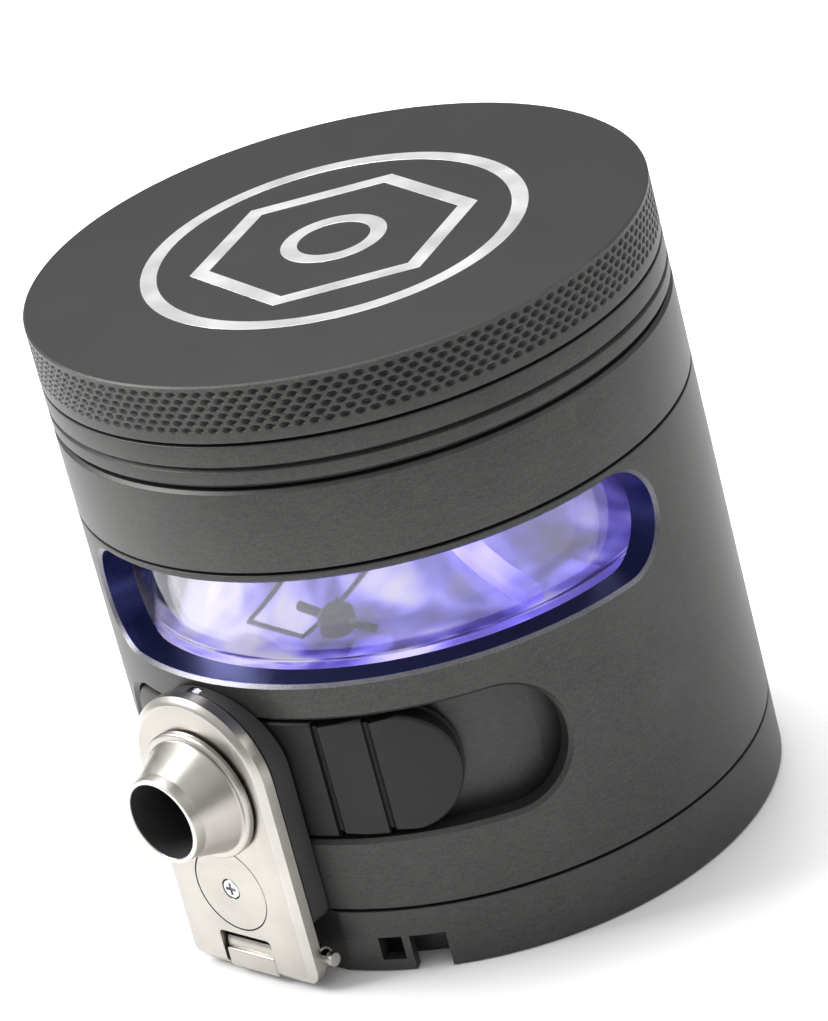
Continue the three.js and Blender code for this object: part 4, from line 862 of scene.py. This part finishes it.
# ---------------------------------------------------------------- lit bowl behind the window
bowl_r = BOWL_HIGH.x
bowl_in = bowl_r - BOWL_WALL
floor_z = SLEEVE_LOW.z + BOWL_FLOOR_T
cup = lathe("bowl_fine", [
    (0, SLEEVE_LOW.z, 0), (bowl_r, SLEEVE_LOW.z, 0.3), (bowl_r, BOWL_HIGH.z, 0.2),
    (bowl_in, BOWL_HIGH.z, 0.2), (bowl_in, floor_z, 1.0), (0, floor_z, 0),
], 128)
shaft_hole = rod("cut_shaft", 1.1, (*STIRRER_XY, SLEEVE_LOW.z - 1), (*STIRRER_XY, floor_z + 1), 24)
spout = block("spout", (-CHUTE_HALF_W - 1, CHUTE_HALF_W + 1), (CHUTE_YS[0] - 1, CHUTE_YS[1] + 1),
              (BOWL_LOW.z, SLEEVE_LOW.z + 0.5), 0.2)
rib = block("rib", (-1, 1), (-24.1, -9), (floor_z - 0.3, floor_z + 1.9), 0.5, 72)
passage = block("cut_chute", (-CHUTE_HALF_W, CHUTE_HALF_W), CHUTE_YS, (BOWL_LOW.z - 1, floor_z + 1))
cup = cut(merge(cup, spout), passage, shaft_hole)
place(cup, "body", "clear_plastic", [BOWL, BOWL_FLOOR_LOOK, CLEAR], "chamber_bowl")
for polygon in cup.data.polygons:
    x, y, z = polygon.center / MM
    angle = math.degrees(math.atan2(x, -y))
    if abs(z - floor_z) < 0.1 and polygon.normal.z > 0.7:
        polygon.material_index = 1
    elif z > floor_z + 0.3 and WINDOW["start"] - 12 < angle < WINDOW["end"] + 12:
        polygon.material_index = 2
place(rib, "body", "clear_plastic", RIB_LOOK)
rim_zs = (floor_z - 0.05, floor_z + 0.25)
rim_sides = (
    ((-CHUTE_HALF_W - 0.4, -CHUTE_HALF_W), CHUTE_YS), ((CHUTE_HALF_W, CHUTE_HALF_W + 0.4), CHUTE_YS),
    ((-CHUTE_HALF_W - 0.3, CHUTE_HALF_W + 0.3), (CHUTE_YS[0] - 0.4, CHUTE_YS[0])),
    ((-CHUTE_HALF_W - 0.3, CHUTE_HALF_W + 0.3), (CHUTE_YS[1], CHUTE_YS[1] + 0.4)),
)
rim = absorb(*[block("chute_rim", xs, ys, rim_zs, 0.08) for xs, ys in rim_sides])
place(rim, "body", "clear_plastic", OUTLINE)
sleeve = lathe("clear_sleeve_fine", [
    (SLEEVE_HIGH.x - SLEEVE_WALL, SLEEVE_LOW.z, 0.15), (SLEEVE_HIGH.x, SLEEVE_LOW.z, 0.15),
    (SLEEVE_HIGH.x, SLEEVE_HIGH.z, 0.15), (SLEEVE_HIGH.x - SLEEVE_WALL, SLEEVE_HIGH.z, 0.15),
], 192)
place(sleeve, "body", "clear_plastic", CLEAR, "clear_sleeve")

hub_z = floor_z + GAP
stirrer = lathe("stirrer_fine", [
    (0, hub_z, 0), (1.8, hub_z, 0.2), (1.8, hub_z + 1.5, 0.2), (1.1, hub_z + 2, 0.3), (0, hub_z + 2, 0),
], 48)
stirrer.data.transform(Matrix.Translation((STIRRER_XY[0] * MM, STIRRER_XY[1] * MM, 0)))
wire_ends = [(STIRRER_XY[0] + arm, STIRRER_XY[1], hub_z + 1) for arm in (-STIRRER_ARM, STIRRER_ARM)]
stirrer = absorb(stirrer, rod("shaft", 0.8, (*STIRRER_XY, STIRRER_LOW.z), (*STIRRER_XY, hub_z + 0.1), 24),
                 rod("wire", 0.4, *wire_ends, 20, 0.2))
place(stirrer, "stirrer", "steel", DARK_STEEL, "stirrer")

# ---------------------------------------------------------------- base cup
FLAT_OUT = PIN_OUT - 2.8
base_high = BASE_TOP - HALF_GAP
inner_r = OUTER_R - BASE_WALL
base = lathe("base_fine", [
    (0, 0, 0), (OUTER_R, 0, 0.45), (OUTER_R, base_high, 0.14), (SPIGOT_R, base_high, 0),
    (SPIGOT_R, BASE_HIGH.z, 0.2), (SPIGOT_R - 1.5, BASE_HIGH.z, 0.2), (SPIGOT_R - 1.5, base_high - 1.2, 0),
    (inner_r, base_high - 2.2, 0.3), (inner_r, 2.6, 0.5), (0, 2.6, 0),
], 256, steps=4)
pad = lathe("cut_pad", [(PAD_R[0], -1, 0), (PAD_R[1], -1, 0), (PAD_R[1], 1, 0), (PAD_R[0], 1, 0)], 96)
base = cut(base, pad, block("cut_flat", (-OUTER_R, OUTER_R), (-OUTER_R - 1, -FLAT_OUT), (-1, BASE_TOP + 1)),
           block("cut_tenon", (-2.5, 2.5), (-OUTER_R, -inner_r + 2), (1.45, 4.55)),
           block("cut_port", (PORT_LOW.x - GAP, PORT_HIGH.x + GAP), (PORT_LOW.y - 1, OUTER_R + 1),
                 (PORT_LOW.z - GAP, PORT_HIGH.z + GAP), 0.9))
for i in range(3):
    x, y = SCREW_RING_R * math.sin(TURN * i / 3), -SCREW_RING_R * math.cos(TURN * i / 3)
    base = cut(base, rod("cut_screw", 1.2, (x, y, -1), (x, y, 3.6), 32),
               rod("cut_head", 2.2, (x, y, -1), (x, y, 2.1), 32))


def wall_cut(start, end, low, high, inner, outer):
    """A square-ended cutter that follows the base wall."""
    points, faces, count = [], [], 10
    for k in range(count + 1):
        turn = math.radians(start + (end - start) * k / count)
        for radius, z in ((inner, low), (outer, low), (outer, high), (inner, high)):
            points.append((radius * math.sin(turn), -radius * math.cos(turn), z))
    for k in range(count):
        faces += [(4 * k + a, 4 * k + (a + 1) % 4, 4 * k + 4 + (a + 1) % 4, 4 * k + 4 + a) for a in range(4)]
    faces += [(0, 1, 2, 3), tuple(4 * count + a for a in range(4))]
    return make_piece("cut_wall", points, faces)


wall_r = OUTER_R - LOOP_WALL
base = cut(base, wall_cut(*LOOP, -1, LOOP_TOP, OUTER_R - 3.5, wall_r),
           wall_cut(28.9, LOOP[1], -1, LOOP_TOP, wall_r - 0.5, OUTER_R + 1),
           wall_cut(23, 27.5, 1.4, LOOP_TOP, wall_r - 0.5, OUTER_R + 1))
place(base, "body", "gunmetal", GUNMETAL, "base_cup")

# ---------------------------------------------------------------- door, nozzle, cap and hinge
def door_outline(low, margin=0.0, steps=40):
    def outline(inset):
        half, bottom = DOOR_HALF_W - margin - inset, low + inset
        arch = DOOR_HIGH.z - DOOR_HALF_W
        corner = max(0.2, 1.5 - inset)
        points = []
        for x, start in ((half - corner, -90), (-half + corner, 180)):
            arc = [(x + corner * math.cos(math.radians(start + 90 * k / 8)),
                    bottom + corner + corner * math.sin(math.radians(start + 90 * k / 8))) for k in range(9)]
            points.append(arc)
        top = [(half * math.cos(math.pi * k / steps), arch + half * math.sin(math.pi * k / steps))
               for k in range(steps + 1)]
        return points[0] + top + points[1]
    return outline


bevel = 0.85
bevel_out = DOOR_FACE - bevel * 0.62
door_rings = [(DOOR_BACK, 0.1), (DOOR_BACK + 0.1, 0.0), (bevel_out, 0.0)]
door_rings += [(bevel_out + 0.5 * t, 0.72 * t) for t in (0.5, 0.9)]
door_rings += [(DOOR_FACE, bevel)]
door = front_loft("door_fine", door_outline(DOOR_LOW.z), door_rings, 20)
slot_half = KNUCKLE_HIGH.x + 0.2
ears = [rod("ear", EAR_R, (a, -PIN_OUT, PIN_Z), (b, -PIN_OUT, PIN_Z), 48, 0.2)
        for a, b in ((-DOOR_HALF_W, 0.1 - slot_half), (slot_half - 0.1, DOOR_HALF_W))]
door = merge(door, *ears)
door = cut(door, block("cut_slot", (-slot_half, slot_half), (-DOOR_FACE - 1, -PIN_OUT + 2.2), (-1, 5.2), 0.5),
           rod("cut_pin", PIN_HOLE_R, (-10, -PIN_OUT, PIN_Z), (10, -PIN_OUT, PIN_Z), 32),
           rod("cut_bore", SPIGOT_HOLE_R, (0, -DOOR_FACE - 1, FEED_Z), (0, -DOOR_BACK + 1, FEED_Z), 96),
           rod("cut_cap", CAP_HOLE_R, (0, -DOOR_FACE - 1, CAP_Z), (0, -DOOR_FACE + 1, CAP_Z), 128),
           rod("cut_shaft", 0.9, (0, -DOOR_FACE, CAP_Z), (0, -DOOR_BACK + 1, CAP_Z), 32))
place(door, "door", "nickel", [NICKEL, NICKEL_EDGE_HIGHLIGHT], "door_plate")
# Bevel faces of the door take the lighter nickel, a painted highlight.
for polygon in door.data.polygons:
    out = -polygon.center.y / MM
    if DOOR_FACE - 0.6 < out < DOOR_FACE - 0.01 and 0.15 < -polygon.normal.y < 0.97:
        polygon.material_index = 1

nozzle = turned_outwards("nozzle_fine", [
    (BORE_R, -NOZZLE_HIGH.y, 0), (BORE_R + 0.8, -NOZZLE_HIGH.y, 0.1), (BORE_R + 0.8, DOOR_FACE + 0.3, 0),
    (FLANGE_R, DOOR_FACE + 0.3, 0.15), (FLANGE_R, DOOR_FACE + 1.1, 0.42), (CONE_R[0], DOOR_FACE + 1.1, 0.25),
    (CONE_R[1], DOOR_FACE + 4.8, 0.15), (LIP_R, DOOR_FACE + 6, 0.16), (BORE_R, DOOR_FACE + 6, 0.14),
], FEED_Z, 160)
place(nozzle, "door", "nickel", [NICKEL, NICKEL_EDGE_HIGHLIGHT, BACKING], "nozzle")
for polygon in nozzle.data.polygons:
    x, y, z = polygon.center / MM
    radius = math.hypot(x, z - FEED_Z)
    # The nozzle's lip takes the lighter nickel, a painted highlight.
    if -y > DOOR_FACE + 5.7:
        polygon.material_index = 1
    # The bore takes the black backing plastic: painted shade inside the nozzle.
    elif radius < BORE_R + 0.05:
        polygon.material_index = 2

cap = turned_outwards("cap_fine", [
    (CAP_SCREW_R + 0.1, DOOR_FACE - 0.7, 0), (CAP_R, DOOR_FACE - 0.7, 0.1), (CAP_R, DOOR_FACE, 0.12),
    (CAP_SCREW_R + 0.1, DOOR_FACE, 0.08),
], CAP_Z, 160)
place(cap, "door", "nickel", NICKEL, "magnet_cap")
screw = turned_outwards("screw_fine", [
    (0, DOOR_BACK + 0.1, 0), (0.6, DOOR_BACK + 0.1, 0), (0.6, DOOR_FACE - 0.6, 0),
    (CAP_SCREW_R, DOOR_FACE - 0.6, 0.1), (CAP_SCREW_R, DOOR_FACE - 0.02, 0.15), (0, DOOR_FACE - 0.02, 0),
], CAP_Z, 64)
driver_ys = (-DOOR_FACE - 1, -DOOR_FACE + 0.38)
for x, z in ((0.68, 0.17), (0.17, 0.68)):
    screw = cut(screw, block("driver", (-x, x), driver_ys, (CAP_Z - z, CAP_Z + z), 0.05))
place(screw, "door", "steel", STEEL, "cap_screw")

backing = front_loft("backing_fine", door_outline(BACKING_LOW.z, GAP), [
    (OUTER_R - 5, 0.0), (DOOR_BACK - GAP - 0.35, 0.0), (DOOR_BACK - GAP - 0.1, 0.1), (DOOR_BACK - GAP, 0.35)])
body_clear_r = OUTER_R + GAP
round_body = lathe("cut_body", [(0, -1, 0), (body_clear_r, -1, 0), (body_clear_r, TOP, 0), (0, TOP, 0)], 256)
gasket_low, gasket_high = box_mm("door_gasket")
groove_in, groove_out = gasket_high.x - 1.35, gasket_high.x + 0.15
groove_deep = 0.1 - gasket_low.y
gasket_groove = turned_outwards("cut_ring", [
    (groove_in, OUTER_R - 5, 0), (groove_out, OUTER_R - 5, 0), (groove_out, groove_deep, 0),
    (groove_in, groove_deep, 0),
], FEED_Z, 64)
backing = cut(backing, round_body,
              rod("cut_spigot", SPIGOT_HOLE_R, (0, -DOOR_BACK, FEED_Z), (0, -20, FEED_Z), 64), gasket_groove,
              rod("cut_magnet", LATCH_HOLE_R, (0, -34, latch_z), (0, -32, latch_z), 32))
place(backing, "door", "black_plastic", BACKING, "door_backing")

knuckle = block("knuckle_fine", (KNUCKLE_LOW.x, KNUCKLE_HIGH.x), (-DOOR_FACE + 0.1, -FLAT_OUT - GAP),
                (DOOR_LOW.z, PIN_Z - 0.3), 0.22)
barrel_ends = (KNUCKLE_LOW.x, -PIN_OUT, PIN_Z), (KNUCKLE_HIGH.x, -PIN_OUT, PIN_Z)
tenon_ys, tenon_zs = (-FLAT_OUT - 0.8, KNUCKLE_HIGH.y), (PIN_Z - 1.6, PIN_Z + 0.9)
knuckle = merge(knuckle, rod("barrel", 1.65, *barrel_ends, 64, 0.2),
                block("tenon", (-2.2, 2.2), tenon_ys, tenon_zs, 0.1))
knuckle = cut(knuckle, block("cut_top", (-5, 5), (-DOOR_FACE, -FLAT_OUT - GAP), (PIN_Z + 0.85, PIN_Z + 3)),
              rod("cut_hole", PIN_HOLE_R, (-6, -PIN_OUT, PIN_Z), (6, -PIN_OUT, PIN_Z), 32))
place(knuckle, "body", "nickel", NICKEL, "hinge_knuckle")
pin_half = DOOR_HALF_W - 0.1
pin = rod("pin_fine", 0.6, (-pin_half, -PIN_OUT, PIN_Z), (pin_half, -PIN_OUT, PIN_Z), 32, 0.12)
place(pin, "door", "steel", STEEL, "hinge_pin")

# ---------------------------------------------------------------- floor, light and camera
floor = bpy.data.meshes.new("floor")
FLOOR_HALF = 3.0
corners = [(x * FLOOR_HALF, y * FLOOR_HALF, 0) for x, y in ((-1, -1), (1, -1), (1, 1), (-1, 1))]
floor.from_pydata(corners, [], [(0, 1, 2, 3)])
floor_piece = bpy.data.objects.new("floor", floor)
bpy.context.scene.collection.objects.link(floor_piece)
paper = Look("floor", (0.93, 0.93, 0.93), 0.38)
paper.rough(paper.range(paper.noise(4, 2), 0.36, 0.42))
floor.materials.append(paper.material)

world = bpy.data.worlds.new("studio")
bpy.context.scene.world = world
world.use_nodes = True
nodes, links = world.node_tree.nodes, world.node_tree.links
sky = nodes.new("ShaderNodeTexCoord")
parts = nodes.new("ShaderNodeSeparateXYZ")
shade = nodes.new("ShaderNodeValToRGB")
shade.color_ramp.elements[0].position = 0.0
shade.color_ramp.elements[0].color = (0.30, 0.30, 0.31, 1)
shade.color_ramp.elements[1].position = 0.75
shade.color_ramp.elements[1].color = (1.15, 1.15, 1.15, 1)
links.new(sky.outputs["Generated"], parts.inputs["Vector"])
links.new(parts.outputs["Z"], shade.inputs["Fac"])
links.new(shade.outputs["Color"], nodes["Background"].inputs["Color"])
nodes["Background"].inputs["Strength"].default_value = 0.85


def lamp(name, place_mm, target_mm, size_mm, power, color=(1, 1, 1)):
    data = bpy.data.lights.new(name, "AREA")
    data.shape = "RECTANGLE"
    data.size, data.size_y = size_mm[0] * MM, size_mm[1] * MM
    data.energy = power
    data.color = color
    made = bpy.data.objects.new(name, data)
    made.location = Vector(place_mm) * MM
    made.rotation_euler = (Vector(target_mm) - Vector(place_mm)).to_track_quat("-Z", "Y").to_euler()
    bpy.context.scene.collection.objects.link(made)


middle = (0, 0, BODY_CENTRE_Z)
lamp("key", (-300, -250, 320), middle, (220, 220), 2.3)
lamp("side", (380, 300, 260), middle, (90, 300), 0.35)
lamp("overhead", (-120, 60, 520), middle, (300, 260), 2.6)

camera_data = bpy.data.cameras.new("camera")
camera = bpy.data.objects.new("camera", camera_data)
bpy.context.scene.collection.objects.link(camera)
bpy.context.scene.camera = camera
CAMERA_TARGET = (0.56, 0.62, 34.27)
CAMERA_DISTANCE = 523.08
camera_data.lens = 183.6
camera_data.sensor_width = 36
camera_data.sensor_fit = "AUTO"
camera_data.clip_start = 0.01
azimuth, elevation, roll = math.radians(47.90), math.radians(25.17), math.radians(14.73)
forward = -Vector((math.sin(azimuth) * math.cos(elevation), -math.cos(azimuth) * math.cos(elevation),
                   math.sin(elevation)))
level = forward.cross(Vector((0, 0, 1))).normalized()
upright = level.cross(forward)
up = upright * math.cos(roll) + level * math.sin(roll)
side = forward.cross(up)
turn = Matrix((side, up, -forward)).transposed().to_4x4()
camera.matrix_world = Matrix.Translation((Vector(CAMERA_TARGET) - forward * CAMERA_DISTANCE) * MM) @ turn

bpy.context.scene.view_settings.view_transform = "Standard"
